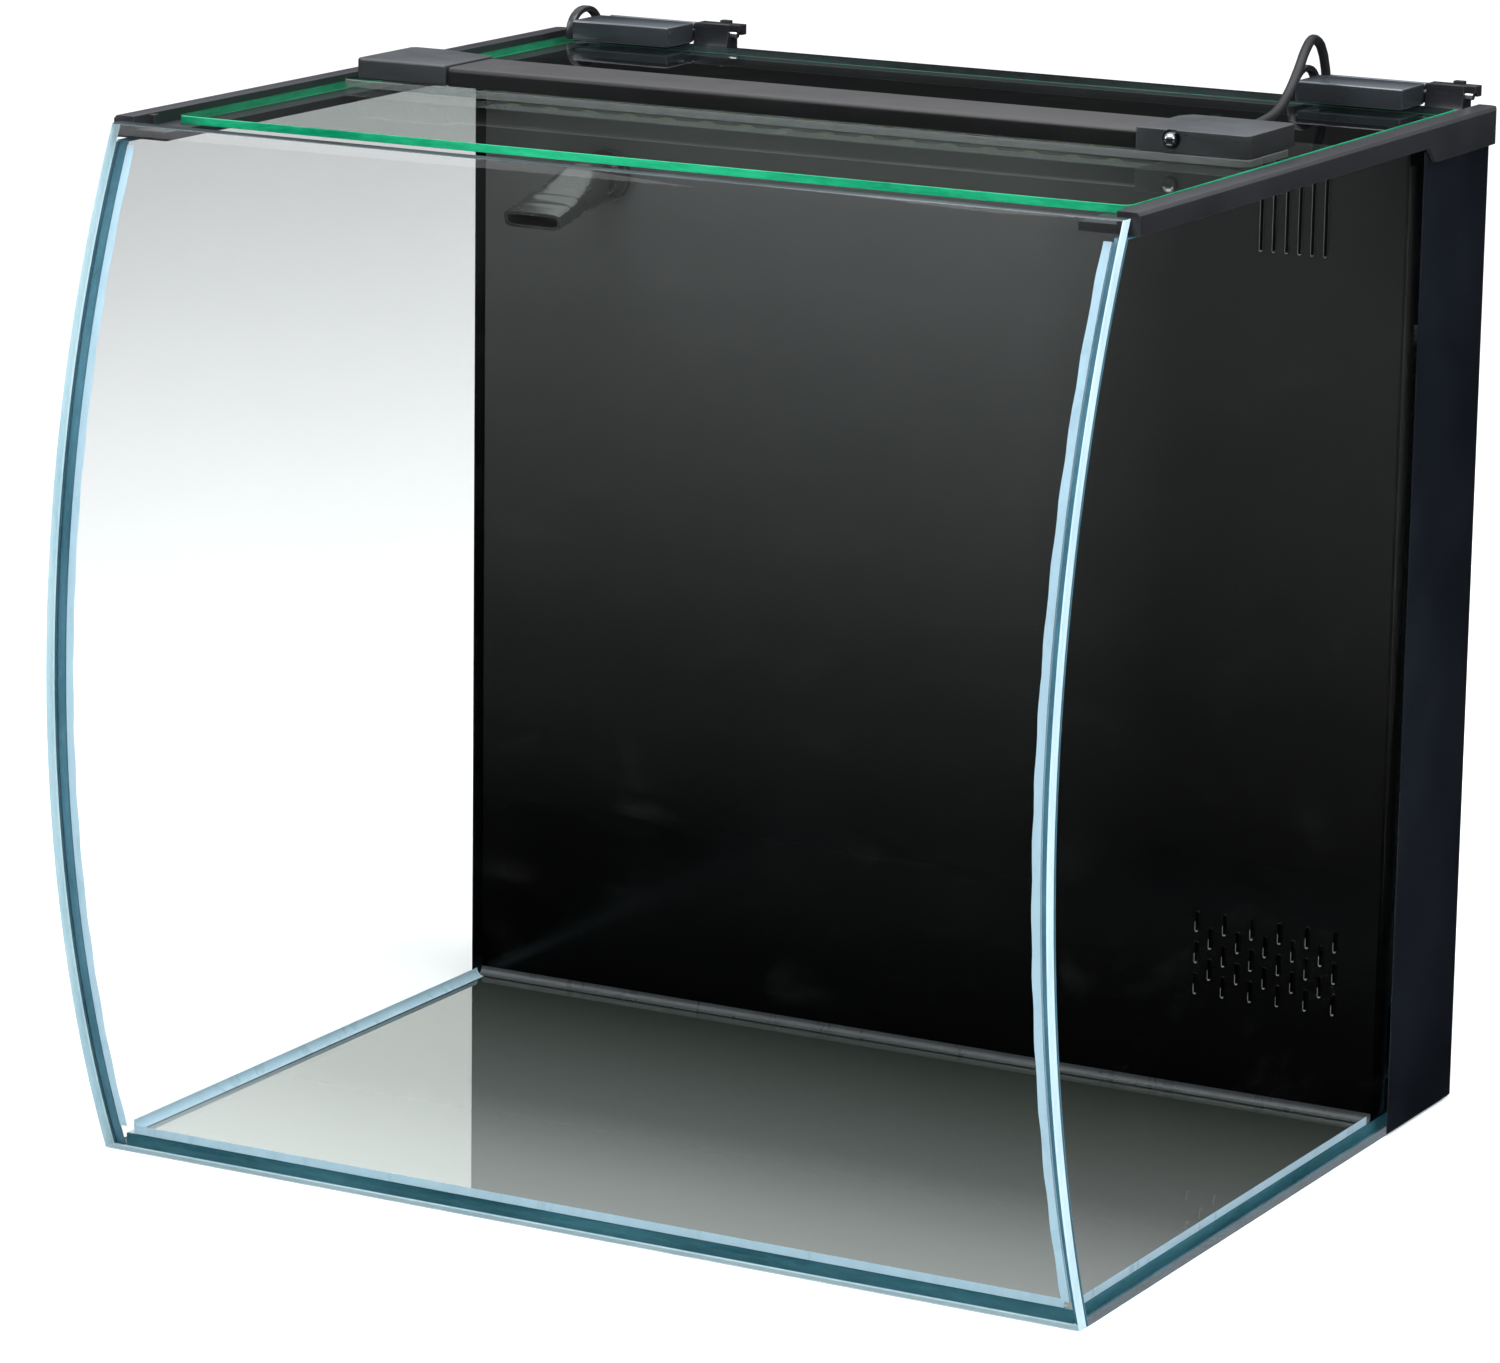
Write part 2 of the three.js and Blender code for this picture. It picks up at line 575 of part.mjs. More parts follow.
function hingeClamp(x) {
  const [c0, c1] = [x + CLAMP[0], x + CLAMP[1]];
  const top = LID_TOP + GAP;
  const wallY = LID_BACK + GAP;
  const parts = [
    prismZ(roundedRect(c0, c1, 300, wallY + 1.8, 1.2), top, top + 3.7, 3),
    box(c0 + 1, c1 - 1, 301, wallY + 1.8, 373.8, LID_Z - GAP),
    box(c0 + 1, c1 - 1, wallY, wallY + 1.8, 373.8, top + 3),
    box(c0 + 4, c1 - 0.2, wallY + 1, AXIS_Y, AXIS_Z - 2.6, AXIS_Z + 2.6),
    rod('x', c0 + 4, AXIS_Y, AXIS_Z, c1 - c0 - 4.2, BARREL_R, 20),
  ];
  return cutAll(joinAll(parts), [rod('x', c0 - 5, AXIS_Y, AXIS_Z, 70, BORE_R, 16)]);
}

// a flat arched eye at the hinge's left end, for a lead
function cableLoop(x) {
  const [y0, y1] = [301, 325.5];
  const foot = LID_TOP + GAP;
  const height = 12;
  const steps = 14;
  const arch = (inset) => Array.from({ length: steps + 1 }, (_, i) => {
    const a = Math.PI - (Math.PI * i) / steps;
    const mid = (y0 + y1) / 2;
    return [mid + ((y1 - y0) / 2 - inset) * Math.cos(a), foot + (height - inset) * Math.sin(a) ** 0.8];
  });
  const outer = arch(0);
  const inner = arch(2.3).reverse();
  return prismX([...outer, ...inner].reverse(), x, x + CLAMP[0] - GAP);
}

function addHinges() {
  HINGE_X.forEach((x, i) => {
    addNode(`hinge_base_${HINGE_NAMES[i]}`, 'rim', hingeBase(x));
    addNode(`hinge_clamp_${HINGE_NAMES[i]}`, 'lampCap', hingeClamp(x));
    addNode(`cable_loop_${HINGE_NAMES[i]}`, 'rim', cableLoop(x));
    const pin = rod('x', x + 8, AXIS_Y, AXIS_Z, HINGE_END - 9, PIN_R, 16);
    addNode(`hinge_pin_${HINGE_NAMES[i]}`, 'steel', pin);
  });
}

// ---------------------------------------------------------------- lamp
function addLamp() {
  const [y0, y1] = [LAMP_FRONT + 1.2, LAMP_BACK];
  const top = LAMP_TOP - 0.8;
  const wall = 1.8;
  const bar = [
    [y0, LAMP_Z], [y0 + wall, LAMP_Z], [y0 + wall, top - wall], [y1 - wall, top - wall],
    [y1 - wall, LAMP_Z], [y1, LAMP_Z], [y1, top - 1.2], [y1 - 1.2, top],
    [y0 + 1.2, top], [y0, top - 1.2],
  ];
  addNode('lamp_bar', 'lampBar', prismX(bar, SEAM_LEFT + GAP, SEAM_RIGHT - GAP));
  const left = [
    [LAMP_LEFT + 2, LAMP_FRONT], [SEAM_LEFT, LAMP_FRONT], [SEAM_LEFT, LAMP_BACK + 1],
    [SEAM_LEFT - 6, LAMP_BACK + 2], [SEAM_LEFT - 22, CAP_BACK], [LAMP_LEFT + 2, CAP_BACK],
    [LAMP_LEFT, CAP_BACK - 2], [LAMP_LEFT, LAMP_FRONT + 2],
  ];
  addNode('lamp_cap_left', 'lampCap', prismZ(left, LAMP_Z, LAMP_TOP));
  const right = [
    [LAMP_RIGHT - 2, LAMP_FRONT], [LAMP_RIGHT, LAMP_FRONT + 2], [LAMP_RIGHT, CAP_BACK - 2],
    [LAMP_RIGHT - 2, CAP_BACK], [SEAM_RIGHT + 3, CAP_BACK], [SEAM_RIGHT, LAMP_BACK + 1],
    [SEAM_RIGHT, LAMP_FRONT],
  ];
  const dome = { x: 158.5, z: LAMP_Z + 4.6, r: 2.6 };
  const recess = rod('y', dome.x, LAMP_FRONT - 1, dome.z, 3.2, 3.6, 20);
  addNode('lamp_cap_right', 'lampCap', cutAll(prismZ(right, LAMP_Z, LAMP_TOP), [recess]));
  addNode('ir_receiver', 'gloss', joinAll([
    rod('y', dome.x, LAMP_FRONT, dome.z, 1.9, dome.r, 16),
    toManifold(new THREE.SphereGeometry(dome.r, 16, 10).translate(dome.x, LAMP_FRONT - 0.8, dome.z)),
  ]));
  const lens = roundedRect(LAMP_LEFT - 5, LAMP_RIGHT + 0.8, LAMP_FRONT - 1, LAMP_BACK, 3);
  addNode('lamp_lens', 'lens', prismZ(lens, LENS_Z, LENS_Z + LENS_T, 4));
  const chips = [];
  for (let x = SEAM_LEFT + 12; x < SEAM_RIGHT - 6; x += 16.5) {
    for (const y of [LAMP_FRONT + 11, LAMP_BACK - 10]) {
      chips.push(box(x, x + 5, y - 2.5, y + 2.5, 385, 386.3));
    }
  }
  const board = box(SEAM_LEFT + 3, SEAM_RIGHT - 3, y0 + 3.4, y1 - 3.4, 386.2, 387.8);
  addNode('led_board', 'board', joinAll([board, ...chips]));
  addNode('cord_gland', 'rubber', rod('y', CORD_EXIT[0], CAP_BACK + GAP, CORD_EXIT[2], 9, 3.1, 16, 2.3));
}

// ---------------------------------------------------------------- lamp lead
const CORD_EXIT = [166, CAP_BACK + GAP + 9 + GAP, 387.2];
const BACK_Y = RIM_BACK + 7;
const COIL_WIDE = (COIL_TURNS * TURN_PITCH) / 2;
const COIL = { x: 97.5, y: BACK_Y + COIL_R + COIL_WIDE };

// straight out of the gland, over in an arch, down the back and along the ground to the coil
const CORD_ROUTE = [
  CORD_EXIT,
  [165.6, 192, 387.3],
  [163, 212, 388.6],
  [157, 236, 392.2],
  [150, 260, 397.4],
  [143, 282, 402],
  [137, 302, 403.6],
  [132.5, 320, 399],
  [130.4, 330, 389],
  [130, BACK_Y, 376],
  [130, BACK_Y, 340],
  [130, BACK_Y, 290],
  [130, BACK_Y, 230],
  [130, BACK_Y, 170],
  [130, BACK_Y, 110],
  [130, BACK_Y, 60],
  [130, BACK_Y, 32],
  [128.8, BACK_Y, 20],
  [125.2, BACK_Y, 10],
  [119.6, BACK_Y, 4],
  [113.6, BACK_Y, 2],
];

function addCord() {
  addNode('lamp_cord', 'cord', tube(CORD_ROUTE, CORD_R, CORD_SIDES, 76));
  const r0 = COIL_R - COIL_WIDE - CORD_R;
  const r1 = COIL_R + COIL_WIDE + CORD_R;
  const h = 2 * TURN_PITCH;
  const section = [[r0, 0], [r1, 0], [r1, h], [r0, h], [r0, 0]].map((p) => new THREE.Vector2(...p));
  const ring = new THREE.LatheGeometry(section, 30).rotateX(Math.PI / 2).translate(COIL.x, COIL.y, 0.1);
  addNode('lamp_cord_coil', 'cord', toManifold(ring));
  const plug = { x: COIL.x - 53, y: COIL.y - r1 + 3.7, z: 5.7 };
  addNode('cord_plug', 'rubber', joinAll([
    rod('x', plug.x, plug.y, plug.z, 22, 5.5, 20),
    rod('x', plug.x + 21.9, plug.y, plug.z, 9.5, 2.8, 16),
  ]));
}

addGlass();
addSeams();
addFilms();
addBackWall();
addPlates();
addFilter();
addBasketHandle();
addPump();
addOutlet();
addNozzle();
addRim();
addLid();
addHinges();
addLamp();
addCord();

// the middle of the underside, over everything but the lead
const FRONT_MOST = BOW_AXIS_Y - BOW_RADIUS;
const REAR_MOST = AXIS_Y + 5;
tank.position.y = -(FRONT_MOST + REAR_MOST) / 2;

export default group;
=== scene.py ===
"""Glass aquarium with a bowed front, a hinged glass lid, an LED lamp and a rear filter compartment.

Lengths below are millimetres from the front pane's foot (y = 0), as on the drawing of the tank, and
at() turns them into the frame's metres. Each piece is mesh code with a node material.
"""
import json
import math
import random

import bmesh
import bpy
from mathutils import Matrix, Vector
from mathutils import noise as mnoise


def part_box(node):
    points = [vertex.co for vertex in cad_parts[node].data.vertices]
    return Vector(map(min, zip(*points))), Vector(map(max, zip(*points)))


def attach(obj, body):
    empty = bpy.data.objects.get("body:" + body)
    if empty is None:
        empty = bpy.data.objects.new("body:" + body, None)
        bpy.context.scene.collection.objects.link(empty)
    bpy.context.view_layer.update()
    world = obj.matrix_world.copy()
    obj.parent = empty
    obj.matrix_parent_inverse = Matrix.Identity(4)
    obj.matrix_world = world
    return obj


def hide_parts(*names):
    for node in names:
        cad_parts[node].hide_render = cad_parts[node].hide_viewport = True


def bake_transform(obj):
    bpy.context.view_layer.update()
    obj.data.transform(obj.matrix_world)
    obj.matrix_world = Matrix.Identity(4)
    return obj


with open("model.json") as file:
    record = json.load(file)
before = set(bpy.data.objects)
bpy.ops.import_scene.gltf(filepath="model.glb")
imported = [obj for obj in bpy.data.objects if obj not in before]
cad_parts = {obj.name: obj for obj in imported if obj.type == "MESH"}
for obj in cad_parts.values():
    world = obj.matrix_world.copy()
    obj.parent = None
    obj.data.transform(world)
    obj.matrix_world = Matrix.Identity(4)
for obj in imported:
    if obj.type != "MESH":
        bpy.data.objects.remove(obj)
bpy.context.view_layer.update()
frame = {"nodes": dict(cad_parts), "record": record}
scene = bpy.context.scene
NODES = frame["nodes"]
BODY = {n: b for b, ns in frame["record"]["behaviour"]["bodies"].items() for n in ns}
Y0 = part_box("rear_pane")[1].y * 1000 - 322  # where y = 0 on the drawing lies in the frame
PANE_SPAN = (0.0, 0.373)  # metres of height over which a pane's shade runs
DUST = 0.006  # how much of the haze shows where a pane is smeared


def at(x, y, z):
    return Vector((x / 1000, (y + Y0) / 1000, z / 1000))


# ---------------------------------------------------------------- camera
def make_camera():
    """The main view, from the right front and a little above."""
    right = Vector((0.87533773, 0.48330341, 0.01420095))
    up = Vector((-0.1218362, 0.19205128, 0.97379271))
    back = Vector((0.46791003, -0.8541277, 0.22699358))
    cam = bpy.data.objects.new("camera", bpy.data.cameras.new("camera"))
    scene.collection.objects.link(cam)
    turn = Matrix((right, up, back)).transposed().to_4x4()
    cam.matrix_world = Matrix.Translation(at(1064.5, -1817.9, 693.3)) @ turn
    cam.data.sensor_fit = "HORIZONTAL"
    cam.data.sensor_width = 36
    cam.data.lens = 149.6
    cam.data.clip_start = 0.05
    cam.data.clip_end = 60
    scene.camera = cam


make_camera()


# ---------------------------------------------------------------- mesh helpers
def new_object(name, verts, faces, mats=(), smooth=None):
    mesh = bpy.data.meshes.new(name)
    mesh.from_pydata([tuple(v) for v in verts], [], faces)
    bm = bmesh.new()
    bm.from_mesh(mesh)
    if len(faces) > 1:
        bmesh.ops.recalc_face_normals(bm, faces=bm.faces)
    bm.to_mesh(mesh)
    bm.free()
    obj = bpy.data.objects.new(name, mesh)
    scene.collection.objects.link(obj)
    for m in mats:
        mesh.materials.append(m)
    if smooth is not None:
        shade(obj, smooth)
    return obj


def shade(obj, degrees):
    """Smooth shading, with edges sharper than this kept sharp."""
    mesh = obj.data
    mesh.polygons.foreach_set("use_smooth", [True] * len(mesh.polygons))
    if hasattr(mesh, "set_sharp_from_angle"):
        mesh.set_sharp_from_angle(angle=math.radians(degrees))
    mesh.update()


def soften(obj, width_mm, segments, degrees=28, smooth=35):
    """Rounds the edges sharper than degrees, and shades the result smooth."""
    m = obj.modifiers.new("bevel", "BEVEL")
    m.width = width_mm / 1000
    m.segments = segments
    m.limit_method = "ANGLE"
    m.angle_limit = math.radians(degrees)
    m.harden_normals = False
    m.use_clamp_overlap = True
    dg = bpy.context.evaluated_depsgraph_get()
    mesh = bpy.data.meshes.new_from_object(obj.evaluated_get(dg), depsgraph=dg)
    obj.modifiers.clear()
    obj.data = mesh
    shade(obj, smooth)


def settle(obj, body, replaces=()):
    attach(obj, body)
    if replaces:
        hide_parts(*replaces)
    return obj


def refined(node, mat, width_mm=0.4, segments=2, degrees=28):
    """The CAD solid with its flat faces merged and its edges rounded."""
    bm = bmesh.new()
    bm.from_mesh(NODES[node].data)
    bmesh.ops.remove_doubles(bm, verts=bm.verts, dist=2e-6)
    bmesh.ops.dissolve_limit(
        bm, angle_limit=math.radians(0.6), verts=bm.verts, edges=bm.edges, use_dissolve_boundaries=False
    )
    mesh = bpy.data.meshes.new(node + "_form")
    bm.to_mesh(mesh)
    bm.free()
    obj = bpy.data.objects.new(node + "_form", mesh)
    scene.collection.objects.link(obj)
    mesh.materials.append(mat)
    soften(obj, width_mm, segments, degrees)
    return settle(obj, BODY[node], [node])


def smooth_line(points, step):
    """Catmull-Rom through the points, sampled about every step."""
    pts = [Vector(p) for p in points]
    ext = [2 * pts[0] - pts[1]] + pts + [2 * pts[-1] - pts[-2]]
    out = []
    for i in range(1, len(ext) - 2):
        a, b, c, d = ext[i - 1 : i + 3]
        n = max(2, int((c - b).length / step))
        for k in range(n):
            t = k / n
            out.append(
                0.5
                * (
                    2 * b
                    + (c - a) * t
                    + (2 * a - 5 * b + 4 * c - d) * t * t
                    + (3 * b - a - 3 * c + d) * t**3
                )
            )
    out.append(pts[-1])
    return out


def tube_mesh(line, radius, sides, start=None):
    """Rings of a tube along a line, carried without twist, and closed at both ends."""
    verts, faces = [], []
    side = start or Vector((0, 0, 1))
    for i, p in enumerate(line):
        t = (line[min(i + 1, len(line) - 1)] - line[max(i - 1, 0)]).normalized()
        side = (side - t * side.dot(t)).normalized()
        other = t.cross(side)
        r = radius(i / (len(line) - 1)) if callable(radius) else radius
        for k in range(sides):
            a = 2 * math.pi * k / sides
            verts.append(p + (side * math.cos(a) + other * math.sin(a)) * r)
    for i in range(len(line) - 1):
        for k in range(sides):
            j = (k + 1) % sides
            a, b = i * sides, (i + 1) * sides
            faces.append((a + k, a + j, b + j, b + k))
    faces.append(tuple(reversed(range(sides))))
    faces.append(tuple((len(line) - 1) * sides + k for k in range(sides)))
    return verts, faces


def box_mesh(lo, hi):
    x0, y0, z0 = lo
    x1, y1, z1 = hi
    v = [(x, y, z) for x in (x0, x1) for y in (y0, y1) for z in (z0, z1)]
    f = [(0, 1, 3, 2), (4, 6, 7, 5), (0, 4, 5, 1), (2, 3, 7, 6), (0, 2, 6, 4), (1, 5, 7, 3)]
    return [Vector(p) for p in v], f


def merge(parts):
    """One list of vertices and faces from several."""
    verts, faces = [], []
    for v, f in parts:
        n = len(verts)
        verts += list(v)
        faces += [tuple(i + n for i in face) for face in f]
    return verts, faces


def prism_mesh(points, axis, a, b):
    """A closed prism: an outline of 2D points, extruded along an axis from a to b."""
    def place(u, v, w):
        return {"x": (w, u, v), "y": (u, w, v), "z": (u, v, w)}[axis]
    n = len(points)
    after = points[1:] + points[:1]
    area = sum(p[0] * q[1] - q[0] * p[1] for p, q in zip(points, after))
    ring = list(points) if (area > 0) != (axis == "y") else list(reversed(points))
    verts = [Vector(place(u, v, a)) for u, v in ring] + [Vector(place(u, v, b)) for u, v in ring]
    faces = [tuple(reversed(range(n))), tuple(range(n, 2 * n))]
    for i in range(n):
        j = (i + 1) % n
        faces.append((i, j, n + j, n + i))
    return verts, faces


def lathe_mesh(profile, centre, axis, sides=32):
    """A closed turned form. profile is (along, radius) from axis to axis."""
    u, v = {"x": ((0, 1, 0), (0, 0, 1)), "y": ((0, 0, 1), (1, 0, 0)), "z": ((1, 0, 0), (0, 1, 0))}[axis]
    w = Vector(u).cross(Vector(v))
    verts, faces, rings = [], [], []
    for along, r in profile:
        if r < 1e-6:
            rings.append([len(verts)])
            verts.append(Vector(centre) + w * along)
        else:
            rings.append(list(range(len(verts), len(verts) + sides)))
            for k in range(sides):
                a = 2 * math.pi * k / sides
                spoke = Vector(u) * math.cos(a) + Vector(v) * math.sin(a)
                verts.append(Vector(centre) + w * along + spoke * r)
    for p, q in zip(rings, rings[1:]):
        for k in range(sides):
            j = (k + 1) % sides
            if len(p) == 1 and len(q) == 1:
                break
            if len(p) == 1:
                faces.append((p[0], q[j], q[k]))
            elif len(q) == 1:
                faces.append((p[k], p[j], q[0]))
            else:
                faces.append((p[k], p[j], q[j], q[k]))
    return verts, faces


def to_frame(verts):
    return [at(*v) for v in verts]


# ---------------------------------------------------------------- material helpers
def material(name):
    m = bpy.data.materials.new(name)
    m.use_nodes = True
    m.node_tree.nodes.clear()
    return m, m.node_tree.nodes, m.node_tree.links


def principled(name):
    """A new material with its tree, a Principled shader and object coordinates."""
    m, nodes, links = material(name)
    bsdf = add(nodes, "ShaderNodeBsdfPrincipled")
    return m, nodes, links, bsdf, add(nodes, "ShaderNodeTexCoord").outputs["Object"]


def surface(m, shader):
    """Ends the material with this shader."""
    out = add(m.node_tree.nodes, "ShaderNodeOutputMaterial")
    m.node_tree.links.new(shader, out.inputs["Surface"])
    return m


def mix_shader(nodes, links, fac, a, b):
    join = add(nodes, "ShaderNodeMixShader")
    if isinstance(fac, float):
        join.inputs["Fac"].default_value = fac
    else:
        links.new(fac, join.inputs["Fac"])
    links.new(a, join.inputs[1])
    links.new(b, join.inputs[2])
    return join.outputs["Shader"]


def add(nodes, kind, **values):
    n = nodes.new(kind)
    for key, value in values.items():
        if hasattr(n, key):
            setattr(n, key, value)
        else:
            n.inputs[key.replace("_", " ")].default_value = value
    return n


def noise(nodes, links, coord, scale, detail=4, roughness=0.55, stretch=None):
    n = add(nodes, "ShaderNodeTexNoise")
    n.inputs["Scale"].default_value = scale
    n.inputs["Detail"].default_value = detail
    n.inputs["Roughness"].default_value = roughness
    if stretch:
        m = add(nodes, "ShaderNodeMapping")
        m.inputs["Scale"].default_value = stretch
        links.new(coord, m.inputs["Vector"])
        links.new(m.outputs["Vector"], n.inputs["Vector"])
    else:
        links.new(coord, n.inputs["Vector"])
    return n.outputs["Fac"]


def ramp(nodes, links, fac, stops):
    r = add(nodes, "ShaderNodeValToRGB")
    els = r.color_ramp.elements
    while len(els) > 1:
        els.remove(els[-1])
    els[0].position = stops[0][0]
    els[0].color = (*stops[0][1], 1)
    for pos, col in stops[1:]:
        e = els.new(pos)
        e.color = (*col, 1)
    links.new(fac, r.inputs["Fac"])
    return r.outputs["Color"]


def fade(nodes, links, coord, axis, ends, stops):
    """A ramp along one axis, from stops of (place, colour) or (place, grey)."""
    split = add(nodes, "ShaderNodeSeparateXYZ")
    links.new(coord, split.inputs["Vector"])
    along = span(nodes, links, split.outputs[axis], *ends, 0, 1)
    return ramp(nodes, links, along, [(p, c if isinstance(c, tuple) else (c, c, c)) for p, c in stops])


def relief(nodes, links, height, bsdf, strength, distance):
    """Fine bump on a shader."""
    bump = add(nodes, "ShaderNodeBump")
    bump.inputs["Strength"].default_value = strength
    bump.inputs["Distance"].default_value = distance
    links.new(height, bump.inputs["Height"])
    links.new(bump.outputs["Normal"], bsdf.inputs["Normal"])


def span(nodes, links, value, a, b, c, d):
    r = add(nodes, "ShaderNodeMapRange")
    for key, v in zip(("From Min", "From Max", "To Min", "To Max"), (a, b, c, d)):
        r.inputs[key].default_value = v
    links.new(value, r.inputs["Value"])
    return r.outputs["Result"]


def mix(nodes, links, fac, a, b, blend="MIX"):
    m = add(nodes, "ShaderNodeMix", data_type="RGBA", blend_type=blend)
    for socket, value in ((m.inputs["Factor"], fac), (m.inputs[6], a), (m.inputs[7], b)):
        if isinstance(value, (int, float)):
            socket.default_value = value
        elif isinstance(value, tuple):
            socket.default_value = (*value, 1)
        else:
            links.new(value, socket)
    return m.outputs[2]


def math_node(nodes, links, op, a, b=None):
    m = add(nodes, "ShaderNodeMath", operation=op)
    for socket, value in zip(m.inputs, (a, b)):
        if value is None:
            continue
        if isinstance(value, (int, float)):
            socket.default_value = value
        else:
            links.new(value, socket)
    return m.outputs[0]


def edge_mask(nodes, links, radius):
    """1 along outside edges, 0 on flats, from how far a rounded normal leans from the true one."""
    bev = add(nodes, "ShaderNodeBevel", samples=4)
    bev.inputs["Radius"].default_value = radius
    geo = add(nodes, "ShaderNodeNewGeometry")
    dot = add(nodes, "ShaderNodeVectorMath", operation="DOT_PRODUCT")
    links.new(bev.outputs["Normal"], dot.inputs[0])
    links.new(geo.outputs["Normal"], dot.inputs[1])
    return span(nodes, links, dot.outputs["Value"], 0.995, 0.86, 0, 1)


def moulded(name, colour, rough, grain=2400, bump=0.12, tone=0.25, wear_and_highlight=0.35, specular=0.5, coat=0.0,
            top=1.0):
    """Moulded plastic or rubber: fine grain, slow variation in tone and gloss, lighter edges that are part
    wear, part painted highlight.

    top is how much lighter the faces are that look up: a painted top light.
    """
    m, nodes, links, bsdf, coord = principled(name)
    slow = noise(nodes, links, coord, 18, 3)
    fine = noise(nodes, links, coord, grain, 2, 0.7)
    smear = noise(nodes, links, coord, 60, 6, 0.65, (1, 1, 2.5))
    dark = tuple(c * (1 - tone) for c in colour)
    light = tuple(min(1, c * (1 + tone) + 0.002) for c in colour)
    base = mix(nodes, links, span(nodes, links, slow, 0.3, 0.7, 0, 1), dark, light)
    # painted top light: faces that look up are lightened as if lit from above
    if top != 1:
        facing = add(nodes, "ShaderNodeSeparateXYZ")
        links.new(add(nodes, "ShaderNodeTexCoord").outputs["Normal"], facing.inputs["Vector"])
        painted_top_light = span(nodes, links, facing.outputs["Z"], 0.55, 0.98, 0, 1)
        base = mix(nodes, links, painted_top_light, base, tuple(c * top for c in light))
    # edges lightened: part wear, part painted highlight along the bevels
    if wear_and_highlight:
        patchy = span(nodes, links, smear, 0.35, 0.7, 0.2, 1)
        edge = math_node(nodes, links, "MULTIPLY", edge_mask(nodes, links, 0.0007), patchy)
        worn_and_highlit_edge = tuple(min(1, c * 2 + 0.06) for c in colour)
        base = mix(nodes, links, math_node(nodes, links, "MULTIPLY", edge, wear_and_highlight), base, worn_and_highlit_edge)
    links.new(base, bsdf.inputs["Base Color"])
    low, high = max(0.02, rough - 0.09), min(1, rough + 0.09)
    links.new(span(nodes, links, smear, 0.25, 0.75, low, high), bsdf.inputs["Roughness"])
    relief(nodes, links, fine, bsdf, bump, 0.0002)
    bsdf.inputs["Specular IOR Level"].default_value = specular
    bsdf.inputs["Coat Weight"].default_value = coat
    bsdf.inputs["Coat Roughness"].default_value = 0.12
    return surface(m, bsdf.outputs["BSDF"])


def pane_face(name, tint, ior=1.5, extra=None, gloss=0.45, bare=0.0, film=0.0):
    """The large faces of clear float glass: what is behind shows through, with a clean reflection.

    gloss scales the reflection, bare adds to it all over, and film is an even haze on the outside in the
    pane's colour, so it also shows any painted shade that extra adds.
    """
    m, nodes, links = material(name)
    coord = add(nodes, "ShaderNodeTexCoord").outputs["Object"]
    clear = add(nodes, "ShaderNodeBsdfTransparent")
    cloud = noise(nodes, links, coord, 9, 3)
    near = tuple(c * 0.985 for c in tint)
    colour = mix(nodes, links, cloud, near, tint)
    if extra:
        colour = extra(nodes, links, coord, colour)
    links.new(colour, clear.inputs["Color"])
    smear = noise(nodes, links, coord, 34, 7, 0.7, (1, 1, 2))
    fres = add(nodes, "ShaderNodeFresnel")
    fres.inputs["IOR"].default_value = ior
    inside = add(nodes, "ShaderNodeNewGeometry").outputs["Backfacing"]
    outside = math_node(nodes, links, "SUBTRACT", 1, inside)
    shine = add(nodes, "ShaderNodeBsdfGlossy")
    links.new(span(nodes, links, smear, 0.35, 0.8, 0.0, 0.04), shine.inputs["Roughness"])
    amount = math_node(nodes, links, "MULTIPLY_ADD", fres.outputs["Fac"], gloss)
    amount.node.inputs[2].default_value = bare
    mirror = math_node(nodes, links, "MULTIPLY", amount, outside)
    glass = mix_shader(nodes, links, mirror, clear.outputs["BSDF"], shine.outputs["BSDF"])
    haze = add(nodes, "ShaderNodeBsdfDiffuse")
    haze.inputs["Color"].default_value = (0.8, 0.85, 0.86, 1)
    speck = math_node(nodes, links, "MULTIPLY", span(nodes, links, smear, 0.55, 0.85, 0, 1), DUST)
    if film:
        # the film takes the pane's colour, painted shade from extra included
        links.new(colour, haze.inputs["Color"])
        amount = math_node(nodes, links, "ADD", speck, film)
        speck = math_node(nodes, links, "MULTIPLY", amount, outside)
    return surface(m, mix_shader(nodes, links, speck, glass, haze.outputs["BSDF"]))


def pane_edge(name, bright, deep, glow=0.0, along=(1, 1, 1)):
    """A ground and polished pane edge, blue or green, with a painted glow in its own colour for the light
    piped through the glass.
    """
    m, nodes, links, bsdf, coord = principled(name)
    streak = noise(nodes, links, coord, 60, 5, 0.6, along)
    fine = noise(nodes, links, coord, 900, 3, 0.6, along)
    slow_part = math_node(nodes, links, "MULTIPLY", streak, 0.75)
    both = math_node(nodes, links, "ADD", slow_part, math_node(nodes, links, "MULTIPLY", fine, 0.25))
    colour = mix(nodes, links, span(nodes, links, both, 0.34, 0.64, 0, 1), deep, bright)
    links.new(colour, bsdf.inputs["Base Color"])
    links.new(span(nodes, links, fine, 0.3, 0.7, 0.06, 0.2), bsdf.inputs["Roughness"])
    # painted glow: the edge emits its own colour
    links.new(colour, bsdf.inputs["Emission Color"])
    bsdf.inputs["Emission Strength"].default_value = glow
    bsdf.inputs["IOR"].default_value = 1.5
    relief(nodes, links, fine, bsdf, 0.08, 0.0002)
    return surface(m, bsdf.outputs["BSDF"])


def metal(name, colour, rough):
    """Drawn wire or coated metal with fine lengthwise scratches."""
    m, nodes, links, bsdf, coord = principled(name)
    line = noise(nodes, links, coord, 3000, 3, 0.7, (0.03, 1, 1))
    slow = noise(nodes, links, coord, 60, 3)
    links.new(mix(nodes, links, slow, tuple(c * 0.8 for c in colour), colour), bsdf.inputs["Base Color"])
    links.new(span(nodes, links, line, 0.3, 0.7, rough - 0.06, rough + 0.1), bsdf.inputs["Roughness"])
    bsdf.inputs["Metallic"].default_value = 1
    relief(nodes, links, line, bsdf, 0.15, 0.0001)
    return surface(m, bsdf.outputs["BSDF"])


